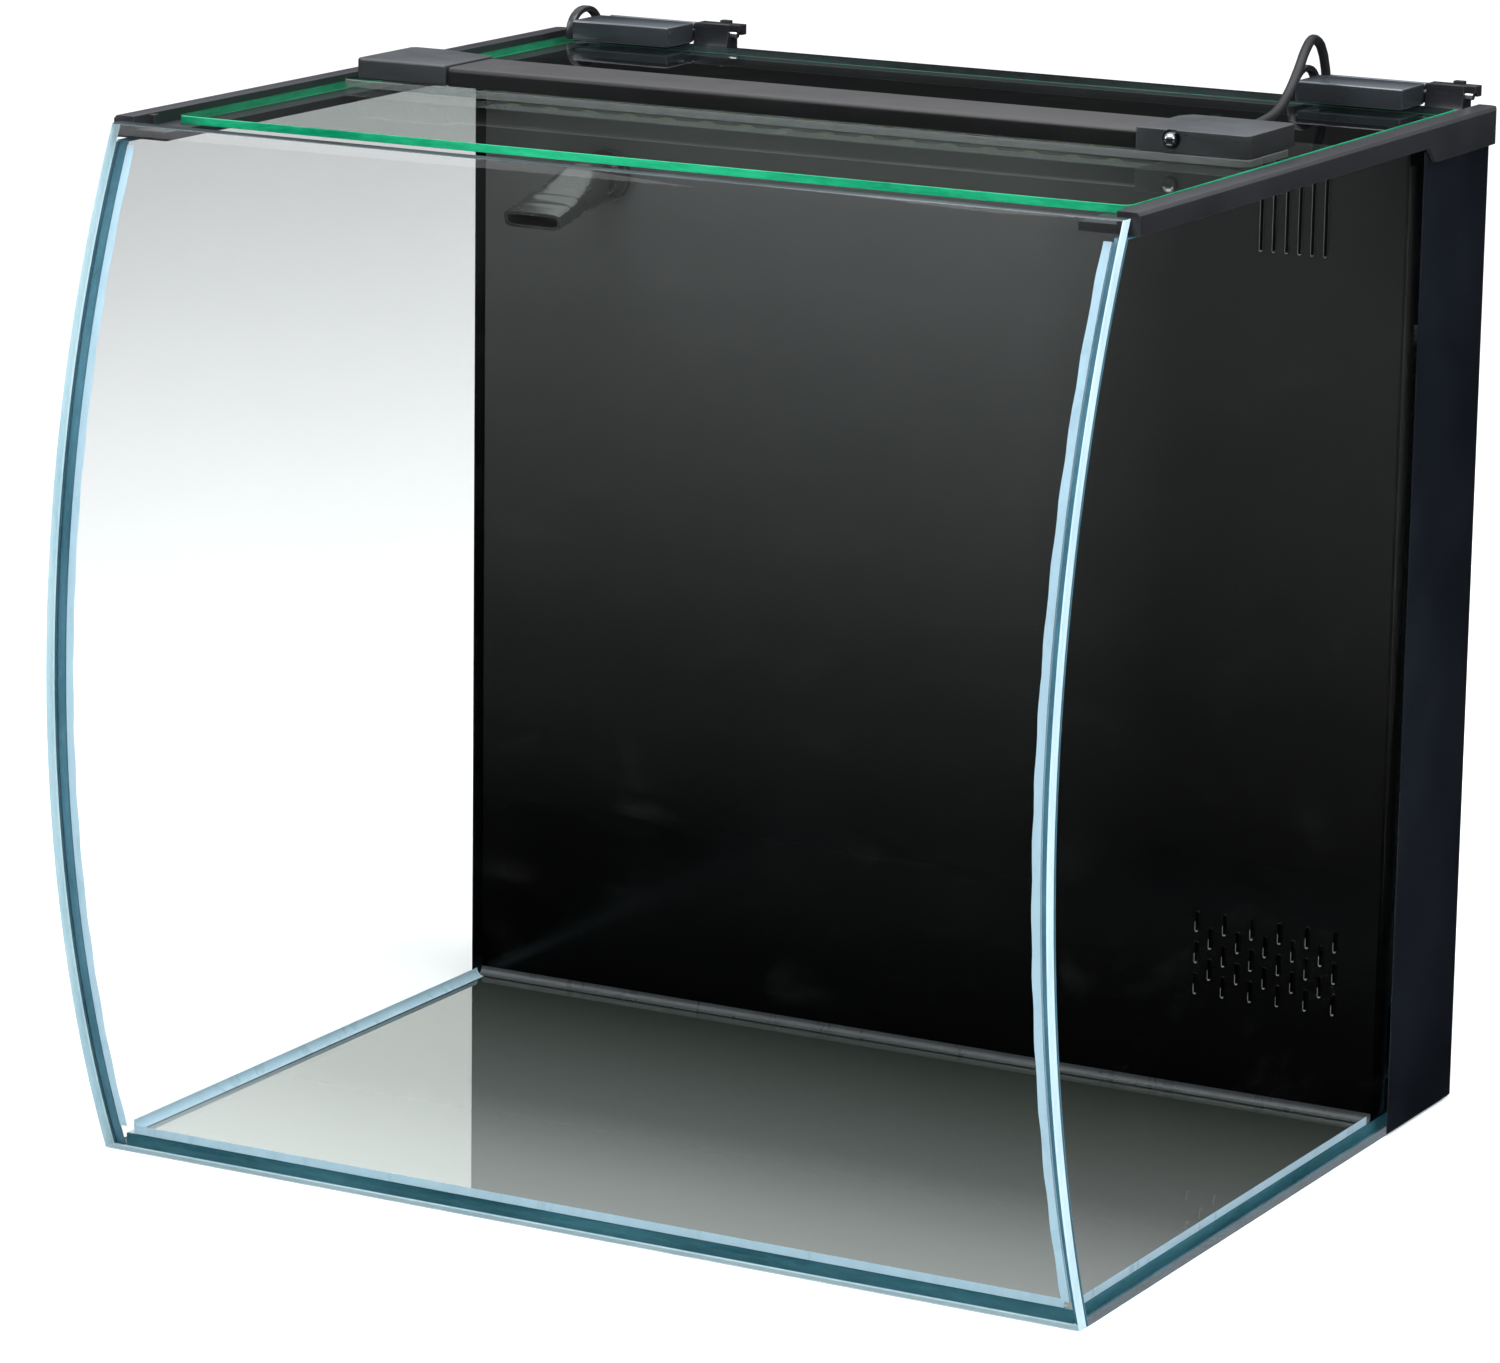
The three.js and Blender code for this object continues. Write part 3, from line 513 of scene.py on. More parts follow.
def wall_plastic(name, level=1.0):
    """Polished black sheet, with painted light that thins out from the top down and painted shade toward
    its right end.
    """
    m, nodes, links, bsdf, coord = principled(name)
    split = add(nodes, "ShaderNodeSeparateXYZ")
    links.new(coord, split.inputs["Vector"])
    # painted light: the base colour climbs from black at the foot to grey at the top
    height = fade(nodes, links, coord, "Z", PANE_SPAN, [
        (0.0, 0.0002), (0.2, 0.003), (0.42, 0.018), (0.62, 0.044), (0.8, 0.068), (1.0, 0.083)])
    if level != 1:
        height = mix(nodes, links, 1.0, height, (level, level, level), "MULTIPLY")
    # painted shade: the wall's right end is darkened to half
    painted_right_shade = span(nodes, links, split.outputs["X"], 0.045, 0.105, 1.0, 0.5)
    smear = noise(nodes, links, coord, 26, 6, 0.6, (1, 1, 1.6))
    cloud = mix(nodes, links, smear, (0.85, 0.85, 0.85), (1, 1, 1))
    base = mix(nodes, links, 1.0, height, cloud, "MULTIPLY")
    base = mix(nodes, links, painted_right_shade, (0.0, 0.0, 0.0), base)
    links.new(base, bsdf.inputs["Base Color"])
    links.new(span(nodes, links, smear, 0.3, 0.75, 0.1, 0.22), bsdf.inputs["Roughness"])
    bsdf.inputs["Specular IOR Level"].default_value = 0.12
    relief(nodes, links, noise(nodes, links, coord, 1600, 2, 0.6), bsdf, 0.03, 0.0002)
    return surface(m, bsdf.outputs["BSDF"])


def fibre(name, dark, light, scale, rough, bump, pores=True):
    """Open foam, wadding or a filled net: cells or fibres with deep shade between them."""
    m, nodes, links, bsdf, coord = principled(name)
    if pores:
        cell = add(nodes, "ShaderNodeTexVoronoi", feature="F1")
        cell.inputs["Scale"].default_value = scale
        links.new(coord, cell.inputs["Vector"])
        height = cell.outputs["Distance"]
    else:
        height = noise(nodes, links, coord, scale, 8, 0.75, (1, 3, 1))
    tone = noise(nodes, links, coord, 40, 4)
    depth = span(nodes, links, height, 0.1, 0.6, 0, 1)
    lit = math_node(nodes, links, "MULTIPLY", depth, span(nodes, links, tone, 0.3, 0.7, 0.7, 1))
    links.new(mix(nodes, links, lit, dark, light), bsdf.inputs["Base Color"])
    bsdf.inputs["Roughness"].default_value = rough
    bsdf.inputs["Sheen Weight"].default_value = 0.25
    relief(nodes, links, height, bsdf, bump, 0.0008)
    return surface(m, bsdf.outputs["BSDF"])


def silicone(name, colour, clear):
    """Cured sealant: cloudy and satin, with faint tool marks."""
    m, nodes, links, bsdf, coord = principled(name)
    cloud = noise(nodes, links, coord, 120, 5, 0.6, (1, 1, 0.3))
    links.new(mix(nodes, links, cloud, tuple(c * 0.75 for c in colour), colour), bsdf.inputs["Base Color"])
    links.new(span(nodes, links, cloud, 0.3, 0.7, 0.22, 0.42), bsdf.inputs["Roughness"])
    relief(nodes, links, cloud, bsdf, 0.2, 0.0004)
    see = add(nodes, "ShaderNodeBsdfTransparent")
    return surface(m, mix_shader(nodes, links, clear, bsdf.outputs["BSDF"], see.outputs["BSDF"]))


def upper_shade(nodes, links, coord, colour):
    """The grey that a side pane takes under the rim, gone by mid height."""
    fall = fade(nodes, links, coord, "Z", PANE_SPAN, [
        (0.0, 0.99), (0.45, 0.965), (0.8, 0.87), (1.0, (0.77, 0.77, 0.775))])
    return mix(nodes, links, 1.0, colour, fall, "MULTIPLY")


def painted_left_shade(nodes, links, coord, colour):
    """Painted shade on the left pane: a little grey all over, and more so toward the top."""
    fall = fade(nodes, links, coord, "Z", PANE_SPAN, [
        (0.0, 0.95), (0.2, 0.925), (0.42, 0.885), (0.6, 0.85), (0.78, 0.80),
        (1.0, (0.725, 0.725, 0.727))])
    return mix(nodes, links, 1.0, colour, fall, "MULTIPLY")


def depth_shade(nodes, links, coord, colour):
    """The base lies in the shade of the back wall, which thins out toward the front."""
    fall = fade(nodes, links, coord, "Y", (-0.14, 0.112), [
        (0.0, (0.50, 0.51, 0.50)), (0.2, (0.38, 0.39, 0.385)), (0.45, (0.19, 0.20, 0.195)),
        (0.75, (0.105, 0.115, 0.105)), (1.0, (0.035, 0.043, 0.037))])
    return mix(nodes, links, 1.0, colour, fall, "MULTIPLY")


# ---------------------------------------------------------------- materials
# top= gives painted top light to faces that look up; the wear figures also paint highlights along edges
RIM = moulded("rim_black", (0.020, 0.021, 0.025), 0.34, 2600, 0.10, 0.2, 0.5, top=1.3)
OUTLET = moulded("outlet_black", (0.030, 0.029, 0.028), 0.24, 2600, 0.08, 0.25, 0.8, 0.9, 0.5)
CAP = moulded("lamp_cap_black", (0.026, 0.028, 0.031), 0.34, 3200, 0.08, 0.2, 0.9, top=2.2)
HINGE = moulded("hinge_black", (0.016, 0.017, 0.020), 0.26, 2600, 0.08, 0.2, 0.7)
FILTER = moulded("filter_black", (0.018, 0.019, 0.022), 0.42, 2000, 0.15, 0.25, 0.4)
RUBBER = moulded("black_rubber", (0.014, 0.014, 0.014), 0.62, 1500, 0.25, 0.3, 0.3)
JACKET = moulded("cord_jacket", (0.020, 0.021, 0.024), 0.38, 1800, 0.12, 0.25, 0.0)
FACE = pane_face("pane_face", (0.975, 0.99, 0.988))
EDGE = pane_edge("pane_edge", (0.60, 0.78, 0.84), (0.40, 0.60, 0.69), 0.08, (1, 1, 0.25))
# painted shade: a dark edge without glow, for pane edges that lie in shade
SHADED_EDGE = pane_edge("painted_shade_edge", (0.07, 0.10, 0.11), (0.015, 0.02, 0.022), 0.0, (0.2, 1, 1))
LID_FACE = pane_face("lid_face", (0.91, 0.95, 0.93), gloss=0.75)
LID_EDGE = pane_edge("lid_edge", (0.02, 0.42, 0.20), (0.0, 0.16, 0.075), 0.25, (0.2, 0.2, 1))
SIDE_FACE = {
    "left": pane_face("left_face", (0.99, 0.992, 0.992), extra=painted_left_shade),
    "right": pane_face("right_face", (0.99, 0.995, 0.995), extra=upper_shade),
}
SIDE_EDGE = pane_edge("side_edge", (0.08, 0.20, 0.27), (0.03, 0.10, 0.14), 0.1, (1, 1, 0.25))
# the base's film shows the painted shade of depth_shade as a diffuse layer
BASE_FACE = pane_face("base_face", (0.99, 1.0, 0.99), extra=depth_shade, gloss=0.5, bare=0.6, film=0.45)
BASE_EDGE = pane_edge("base_edge", (0.05, 0.17, 0.21), (0.015, 0.075, 0.10), 0.12, (0.2, 0.2, 1))
JOINT = silicone("joint_line", (0.05, 0.12, 0.16), 0.1)
SILICONE = silicone("clear_silicone", (0.55, 0.76, 0.90), 0.12)
DARK_SEAL = silicone("dark_silicone", (0.05, 0.055, 0.06), 0.0)
WALL = wall_plastic("wall_black")
# the wall's end fillets carry its painted light 2.6 times as strong
WALL_EDGE = wall_plastic("wall_edge", 2.6)
# light grey for the painted highlights in the slots
SLOT_GLINT_PAINT = moulded("painted_slot_glint", (0.30, 0.30, 0.31), 0.2, 1600, 0.05, 0.2, 0.0)
BAR = moulded("lamp_bar_black", (0.006, 0.006, 0.0065), 0.42, 2600, 0.12, 0.15, 0.7, 0.3, top=7.5)
CLAMP = moulded("hinge_clamp_smoke", (0.030, 0.036, 0.042), 0.14, 2600, 0.04, 0.35, 1.0, 0.8, 0.5, top=2.3)
GLOSS = metal("ir_window", (0.34, 0.35, 0.37), 0.12)
STEEL = metal("pin_steel", (0.62, 0.63, 0.64), 0.28)
MAGNET = metal("coated_magnet", (0.16, 0.17, 0.18), 0.4)
FILM = moulded("black_film", (0.006, 0.008, 0.012), 0.12, 500, 0.04, 0.3, 0.3, 0.5, 0.3)
LENS_FACE = pane_face("lens_face", (0.90, 0.93, 0.93), 1.49)
LENS_EDGE = pane_face("lens_edge", (0.55, 0.58, 0.58), 1.49, gloss=0.9, film=0.16)
BOARD = moulded("led_board", (0.72, 0.74, 0.72), 0.45, 1800, 0.05, 0.1, 0.0)
PHOSPHOR = moulded("led_phosphor", (0.85, 0.70, 0.16), 0.35, 2200, 0.1, 0.2, 0.0)
FOAM = fibre("open_foam", (0.004, 0.004, 0.005), (0.055, 0.058, 0.062), 620, 0.95, 0.9)
FLOSS = fibre("white_floss", (0.45, 0.46, 0.46), (0.86, 0.87, 0.87), 260, 0.95, 0.8, False)
CARBON = fibre("carbon_bag", (0.006, 0.006, 0.007), (0.05, 0.052, 0.055), 480, 0.8, 0.9)
CERAMIC = moulded("ceramic", (0.66, 0.58, 0.46), 0.85, 1200, 0.5, 0.15, 0.0, 0.3)


# ---------------------------------------------------------------- lamp lead
CORD_R = 1.85
BACK = 332.8  # y of the lead behind the rear pane
TURN = 3.75  # from one turn of the coil to the next, sideways and up
TURNS = 4.5  # in each of the coil's two layers
WIDE = 21 + TURNS * TURN / 2
COIL = (97.5, BACK + 21 + TURNS * TURN / 2)
ROUTE = [
    (166, 184.1, 387.2), (165.6, 192, 387.3), (163, 212, 388.6), (157, 236, 392.2), (150, 260, 397.4),
    (143, 282, 402), (137, 302, 403.6), (132.5, 320, 399), (130.4, 330, 389), (130, BACK, 376),
    (130, BACK, 340), (130, BACK, 290), (130, BACK, 230), (130, BACK, 170), (130, BACK, 110),
    (130, BACK, 60), (130, BACK, 32), (128.8, BACK, 20), (125.2, BACK, 10), (119.6, BACK, 4),
    (113.6, BACK, 2),
]


def coil_points():
    """Wound inward on the ground, then outward on top, clockwise seen from above."""
    out = []
    inner = WIDE - TURNS * TURN
    low = 2.0
    steps = 36
    for i in range(int(2 * TURNS * steps) + 1):
        turns = i / steps
        z = low
        if turns <= TURNS:
            r = WIDE - TURN * turns
        elif turns <= TURNS + 0.5:
            t = (turns - TURNS) * 2
            r = inner - 1.0 * math.sin(math.pi * t)
            z = low + TURN * t * t * (3 - 2 * t)
        else:
            r = inner + TURN * (turns - TURNS - 0.5)
            z = low + TURN
        a = -math.pi / 2 - 2 * math.pi * turns
        out.append((COIL[0] + r * math.cos(a), COIL[1] + r * math.sin(a), z))
    return out


def make_cord():
    coil = coil_points()
    tail_y = coil[-1][1]
    lead = smooth_line(ROUTE + coil[:1], 5)[:-1]
    tail = [(COIL[0] - 4 - 4 * k, tail_y, 5.75) for k in range(5)]
    line = to_frame([tuple(p) for p in lead] + coil + tail)
    verts, faces = tube_mesh(line, CORD_R / 1000, 12)
    cord = new_object("lamp_lead", verts, faces, [JACKET], 60)
    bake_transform(cord)
    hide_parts("lamp_cord", "lamp_cord_coil")
    plug = make_plug(tail_y)


def make_plug(tail_y):
    """A round in-line low-voltage connector with a ribbed grip and a short tapered tail."""
    x0 = COIL[0] - 53
    profile = [(0, 0), (0, 2.6), (0.4, 2.9), (2.2, 2.9), (2.4, 4.9), (3.0, 5.45)]
    along = 4.0
    for _ in range(7):
        profile += [(along, 5.45), (along + 0.35, 4.95), (along + 1.1, 4.95), (along + 1.45, 5.45)]
        along += 2.3
    profile += [(20.6, 5.45), (21.6, 5.0), (22.2, 2.75)]
    for k in range(4):
        a = 22.6 + k * 2.2
        r = 2.7 - 0.12 * k
        profile += [(a, r), (a + 0.3, r - 0.35), (a + 0.9, r - 0.35), (a + 1.2, r)]
    profile += [(31.4, 2.1), (31.4, 0)]
    verts, faces = lathe_mesh(profile, (x0, tail_y, 5.75), "x", 40)
    plug = new_object("lead_connector", to_frame(verts), faces, [RUBBER], 40)
    return settle(plug, "tank", ["cord_plug"])


make_cord()


# ---------------------------------------------------------------- floor, backdrop and light
def make_stage():
    m, nodes, links, bsdf, coord = principled("studio_floor")
    cloud = noise(nodes, links, coord, 3, 4)
    links.new(mix(nodes, links, cloud, (0.90, 0.90, 0.90), (0.93, 0.93, 0.93)), bsdf.inputs["Base Color"])
    bsdf.inputs["Roughness"].default_value = 0.9
    bsdf.inputs["Specular IOR Level"].default_value = 0.1
    bsdf.inputs["Emission Color"].default_value = (1, 1, 1, 1)
    bsdf.inputs["Emission Strength"].default_value = 0.2
    surface(m, bsdf.outputs["BSDF"])
    s = 14
    floor = new_object("floor", [(-s, -s, 0), (s, -s, 0), (s, s, 0), (-s, s, 0)], [(0, 1, 2, 3)], [m])
    floor.visible_glossy = False
    world = bpy.data.worlds.new("studio")
    scene.world = world
    world.use_nodes = True
    nodes, links = world.node_tree.nodes, world.node_tree.links
    room = nodes["Background"]
    out = next(n for n in nodes if n.type == "OUTPUT_WORLD")
    way = add(nodes, "ShaderNodeTexCoord").outputs["Generated"]
    links.new(fade(nodes, links, way, "Z", (-1, 1), [
        (0.0, 0.0), (0.47, 0.004), (0.56, 0.02), (0.68, (0.12, 0.12, 0.122)),
        (0.82, (0.75, 0.76, 0.78)), (1.0, 1.0)]), room.inputs["Color"])
    room.inputs["Strength"].default_value = 1.25
    white = add(nodes, "ShaderNodeBackground")
    white.inputs["Color"].default_value = (1, 1, 1, 1)
    white.inputs["Strength"].default_value = 1.0
    path = add(nodes, "ShaderNodeLightPath")
    both = room.outputs["Background"], white.outputs["Background"]
    links.new(mix_shader(nodes, links, path.outputs["Is Camera Ray"], *both), out.inputs["Surface"])
    scene.view_settings.view_transform = "Standard"


def make_card():
    """A white card behind and to the left, seen only by what mirrors it from inside the tank."""
    m, nodes, links = material("white_card")
    glow = add(nodes, "ShaderNodeEmission")
    coord = add(nodes, "ShaderNodeTexCoord").outputs["Object"]
    cloud = noise(nodes, links, coord, 2, 2)
    links.new(mix(nodes, links, cloud, (1.73, 1.80, 1.73), (1.77, 1.84, 1.77)), glow.inputs["Color"])
    path = add(nodes, "ShaderNodeLightPath")
    # only rays that have already crossed three faces of glass
    seen = math_node(nodes, links, "GREATER_THAN", path.outputs["Transparent Depth"], 2.5)
    clear = add(nodes, "ShaderNodeBsdfTransparent").outputs["BSDF"]
    surface(m, mix_shader(nodes, links, seen, clear, glow.outputs["Emission"]))
    verts = [(-1.2, 0.0, 0.004), (0.1, 0.95, 0.004), (0.1, 0.95, 0.33), (-1.2, 0.0, 0.33)]
    card = new_object("white_card", verts, [(0, 1, 2, 3)], [m])
    card.visible_camera = card.visible_diffuse = card.visible_shadow = card.visible_transmission = False


def area_light(name, place, target, size, power, colour=(1, 1, 1)):
    data = bpy.data.lights.new(name, "AREA")
    data.shape = "RECTANGLE"
    data.size, data.size_y = size
    data.energy = power
    data.color = colour
    obj = bpy.data.objects.new(name, data)
    scene.collection.objects.link(obj)
    obj.location = place
    obj.rotation_mode = "QUATERNION"
    obj.rotation_quaternion = (Vector(target) - Vector(place)).to_track_quat("-Z", "Y")
    obj.visible_camera = False


make_stage()
make_card()
area_light("softbox_top", (0.2, -0.5, 2.4), (0, 0, 0.2), (2.4, 1.8), 60)
area_light("softbox_left", (-1.9, -1.2, 1.5), (0, 0, 0.2), (1.0, 1.4), 18, (0.97, 0.98, 1))
area_light("softbox_right", (2.3, -0.3, 1.6), (0, 0, 0.2), (0.9, 1.4), 16)

# ---------------------------------------------------------------- glass
BOW_R = 477  # radius of the front pane's outside
BOW_Z = 178  # height of its deepest point
BOW_Y = math.sqrt(BOW_R**2 - BOW_Z**2)
GLASS = 5
INSIDE = BOW_R - GLASS
HALF = 200  # half the width over the glass
PANE_TOP = 373
DEPTH = 322
GAP = 0.3
BASE_END = HALF - GLASS - GAP
REAR_INSIDE = DEPTH - GLASS - GAP


def bow_y(z, radius):
    return BOW_Y - math.sqrt(radius**2 - (z - BOW_Z) ** 2)


def bow_line(radius, z0, z1):
    steps = 90
    return [(bow_y(z, radius), z) for z in (z0 + (z1 - z0) * i / steps for i in range(steps + 1))]


def bow_band(outer, inner, z0, z1):
    return bow_line(outer, z0, z1) + bow_line(inner, z0, z1)[::-1]


def pane(name, mesh, is_face, face_mat, edge_mat, arris=0.45, is_dim=None):
    """A pane with ground corners. is_face(centre, normal) picks the large faces, is_dim the edges painted
    dark as shade.
    """
    obj = new_object(name, to_frame(mesh[0]), mesh[1], [face_mat, edge_mat, SHADED_EDGE])
    soften(obj, arris, 2, 50, 20)
    for p in obj.data.polygons:
        dim = is_dim and is_dim(p.center, p.normal)
        p.material_index = 0 if is_face(p.center, p.normal) else 2 if dim else 1
    return obj


def radial(centre, normal):
    d = Vector((0, centre.y - (BOW_Y + Y0) / 1000, centre.z - BOW_Z / 1000)).normalized()
    return abs(d.dot(normal)) > 0.985


def make_glass():
    band = prism_mesh(bow_band(BOW_R, INSIDE, 0, 379.4), "x", -HALF, HALF)
    # the front pane's top edge, under the rim, takes the painted shade edge
    front = pane("front_glass", band, radial, FACE, EDGE, is_dim=lambda c, n: abs(n.z) > 0.6 and c.z > 0.37)
    settle(front, "tank", ["front_pane"])
    side = bow_line(INSIDE - 0.6, 0, PANE_TOP) + [(REAR_INSIDE, PANE_TOP), (REAR_INSIDE, 0)]
    for name, x0, x1 in (("left", -HALF, GLASS - HALF), ("right", HALF - GLASS, HALF)):
        mesh = prism_mesh(side, "x", x0, x1)
        obj = pane(name + "_glass", mesh, lambda c, n: abs(n.x) > 0.98, SIDE_FACE[name], SIDE_EDGE)
        settle(obj, "tank", [name + "_pane"])
        a, b = sorted((math.copysign(198.6, x0), math.copysign(199.9, x0)))
        strip = prism_mesh(bow_band(INSIDE - 0.06, INSIDE - 0.52, 0.4, 372.4), "x", a, b)
        joint = new_object(name + "_front_joint", to_frame(strip[0]), strip[1], [JOINT], 20)
        settle(joint, "tank")
    rear = box_mesh((-HALF, DEPTH - GLASS, 0), (HALF, DEPTH, PANE_TOP))
    rear = pane("rear_glass", rear, lambda c, n: abs(n.y) > 0.98, FACE, EDGE)
    settle(rear, "tank", ["rear_pane"])
    front = bow_y(0, INSIDE) + 0.6
    base = box_mesh((-BASE_END, front, 0), (BASE_END, REAR_INSIDE, GLASS))
    obj = pane("base_glass", base, lambda c, n: abs(n.z) > 0.98, BASE_FACE, BASE_EDGE)
    settle(obj, "tank", ["base_pane"])


def make_beads():
    """Tooled silicone: a hollow fillet in each inside corner, wiped a little uneven."""
    leg, foot = 3.2, 5.3  # reach of a fillet along each pane, and its height over the floor
    z0, z1 = 8.8, 371.5
    rng = random.Random(4)
    n = 8
    hollow = [(1 - math.sin(math.pi / 2 * k / n), 1 - math.cos(math.pi / 2 * k / n)) for k in range(n + 1)]
    section = [(0, 0)] + hollow
    steps = 110
    for name, sign in (("left", -1), ("right", 1)):
        verts, faces = [], []
        for i in range(steps + 1):
            z = z0 + (z1 - z0) * i / steps
            size = leg * (1 + 0.05 * math.sin(i * 0.9) + rng.uniform(-0.03, 0.0))
            d = Vector((BOW_Y - bow_y(z, INSIDE - 0.3), BOW_Z - z)).normalized()
            for u, v in section:
                y = bow_y(z, INSIDE - 0.3) + d.x * v * size
                verts.append((sign * (BASE_END - u * size), y, z + d.y * v * size))
        m = len(section)
        for i in range(steps):
            for k in range(m):
                j = (k + 1) % m
                quad = (i * m + k, (i + 1) * m + k, (i + 1) * m + j, i * m + j)
                faces.append(quad if sign > 0 else quad[::-1])
        ends = [tuple(range(m)), tuple(steps * m + k for k in reversed(range(m)))]
        faces += ends if sign > 0 else [e[::-1] for e in ends]
        bead = new_object("front_silicone_" + name, to_frame(verts), faces, [SILICONE], 50)
        settle(bead, "tank", ["front_bead_" + name])
        prof = [(sign * (BASE_END - u * leg), foot + v * leg) for u, v in section]
        run = prism_mesh(prof, "y", bow_y(0, INSIDE) + 5.8, 255)
        obj = new_object("base_silicone_" + name, to_frame(run[0]), run[1], [SILICONE], 50)
        settle(obj, "tank", ["base_bead_" + name])
    y = bow_y(0, INSIDE) + 0.6
    prof = [(y + u * leg - 0.4, foot + v * leg) for u, v in section]
    run = prism_mesh(prof, "x", -190.8, 190.8)
    obj = new_object("base_silicone_front", to_frame(run[0]), run[1], [SILICONE], 50)
    settle(obj, "tank", ["base_bead_front"])
    prof = [(258.7 - u * leg, foot + v * leg) for u, v in section]
    run = prism_mesh(prof, "x", -BASE_END, BASE_END)
    obj = new_object("wall_silicone", to_frame(run[0]), run[1], [DARK_SEAL], 50)
    settle(obj, "tank", ["wall_seal"])


# ---------------------------------------------------------------- back wall
def slot_places():
    out = [(138.1 + 5.14 * i, 330, 365) for i in range(6)]
    for i in range(11):
        for k in range(3 - i % 2):
            z = 44.1 + 12.2 * (k + (i % 2) / 2)
            out.append((120.9 + 5.67 * i, z, z + 8.4))
    return out


def make_wall():
    wall = NODES["back_wall"]
    wall.data.materials.clear()
    wall.data.materials.append(WALL)
    for node in ("weir_plate", "underflow_plate", "pump_weir"):
        refined(node, WALL, 0.3)
    rings, glints = [], []
    for x, z0, z1 in slot_places():
        loop = []
        for centre, start in ((z1 - 0.9, 0), (z0 + 0.9, math.pi)):
            for i in range(10):
                a = start + math.pi * i / 9
                loop.append(Vector((x + 0.86 * math.cos(a), 259.0, centre + 0.86 * math.sin(a))))
        rings.append(loop_tube(loop, 0.36, 6))
        # painted highlights: a light grey dot at each slot's foot and a thin light line along one side
        y = 258.68
        foot = [Vector((x + 0.45 * math.cos(a), y, z0 + 0.55 + 0.45 * math.sin(a)))
                for a in (math.pi * (1 + k / 6) for k in range(7))]
        glints.append(tube_mesh(foot, 0.2, 6, Vector((0, 1, 0))))
        high = z1 if z1 > 200 else z0 + 4.5
        side = [Vector((x - 0.62, y, z0 + 0.6 + (high - z0 - 1.2) * k / 4)) for k in range(5)]
        glints.append(tube_mesh(side, 0.1, 6, Vector((0, 1, 0))))
    for name, parts, mat in (("slot_lips", rings, WALL), ("slot_glints", glints, SLOT_GLINT_PAINT)):
        verts, faces = merge(parts)
        settle(new_object(name, to_frame(verts), faces, [mat], 60), "tank")
    for name, x0, x1 in (("left", -194.9, -188.5), ("right", 188.5, 194.9)):
        strip = prism_mesh([(x0, 262.1), (x1, 262.1), (x1 if x1 > 0 else x0, 271.5)], "z", 6, 366)
        obj = new_object("wall_fillet_" + name, to_frame(strip[0]), strip[1], [WALL_EDGE])
        soften(obj, 0.5, 3)
        settle(obj, "tank")


def loop_tube(loop, radius, sides):
    """A closed ring of round section through points that lie in a plane of constant y."""
    n = len(loop)
    verts, faces = [], []
    for i, p in enumerate(loop):
        t = (loop[(i + 1) % n] - loop[i - 1]).normalized()
        out = Vector((0, 1, 0))
        other = t.cross(out)
        for k in range(sides):
            a = 2 * math.pi * k / sides
            verts.append(p + (out * math.cos(a) + other * math.sin(a)) * radius)
    for i in range(n):
        for k in range(sides):
            j = (k + 1) % sides
            a, b = i * sides, ((i + 1) % n) * sides
            faces.append((a + k, a + j, b + j, b + k))
    return verts, faces


# ---------------------------------------------------------------- lid, lamp and hinges
def rounded_plan(x0, x1, y0, y1, r):
    n = 8
    pts = []
    corners = ((x1 - r, y0 + r, -90), (x1 - r, y1 - r, 0), (x0 + r, y1 - r, 90), (x0 + r, y0 + r, 180))
    for cx, cy, a0 in corners:
        for k in range(n + 1):
            a = math.radians(a0 + 90 * k / n)
            pts.append((cx + r * math.cos(a), cy + r * math.sin(a)))
    return pts


def make_lid():
    mesh = prism_mesh(rounded_plan(-189.5, 189.5, 36, 318, 4), "z", 377, 380)
    # the lid's rear edge takes the painted shade edge
    lid = pane("lid_pane", mesh, lambda c, n: abs(n.z) > 0.98, LID_FACE, LID_EDGE, 0.3,
               lambda c, n: n.y > 0.5)
    settle(lid, "lid", ["lid_glass"])


def make_lamp():
    refined("lamp_bar", BAR, 0.7, 3)
    refined("lamp_cap_left", CAP, 1.0, 4)
    refined("lamp_cap_right", CAP, 1.0, 4)
    lens = prism_mesh(rounded_plan(-181, 188.8, 133, 168, 3), "z", 380.3, 383.1)
    obj = pane("lamp_cover", lens, lambda c, n: abs(n.z) > 0.98, LENS_FACE, LENS_EDGE, 0.35)
    settle(obj, "lid", ["lamp_lens"])
    dome_r, back = 2.6, -3.4
    angles = [math.pi / 2 * k / 12 for k in range(13)]
    dome = [(dome_r - dome_r * math.cos(a) + back, dome_r * math.sin(a)) for a in angles]
    dome += [(1.8, dome_r), (1.8, 0)]
    verts, faces = lathe_mesh(dome, (158.5, 134, 388.0), "y", 32)
    obj = new_object("ir_dome", to_frame(verts), faces, [GLOSS], 50)
    settle(obj, "lid", ["ir_receiver"])
    refined("led_board", BOARD, 0.12)
    chips = []
    for i in range(17):
        for y in (145, 158):
            x = -125 + 16.5 * i
            if x < 139:
                chips.append(box_mesh((x + 0.6, y - 1.9, 384.6), (x + 4.4, y + 1.9, 385.1)))
    verts, faces = merge(chips)
    obj = new_object("led_phosphor", to_frame(verts), faces, [PHOSPHOR])
    soften(obj, 0.2, 2, 40, 40)
    settle(obj, "lid")
    profile = [(0, 0), (0, 3.1), (1.4, 3.1), (1.6, 2.75)]
    for k in range(4):
        a = 1.9 + k * 1.6
        r = 2.75 - 0.1 * k
        profile += [(a, r), (a + 0.25, r - 0.4), (a + 0.7, r - 0.4), (a + 0.95, r)]
    profile += [(8.4, 2.3), (9.0, 2.1), (9.0, 0)]
    verts, faces = lathe_mesh(profile, (166, 174.8, 387.2), "y", 32)
    obj = new_object("strain_relief", to_frame(verts), faces, [RUBBER], 40)
    settle(obj, "lid", ["cord_gland"])


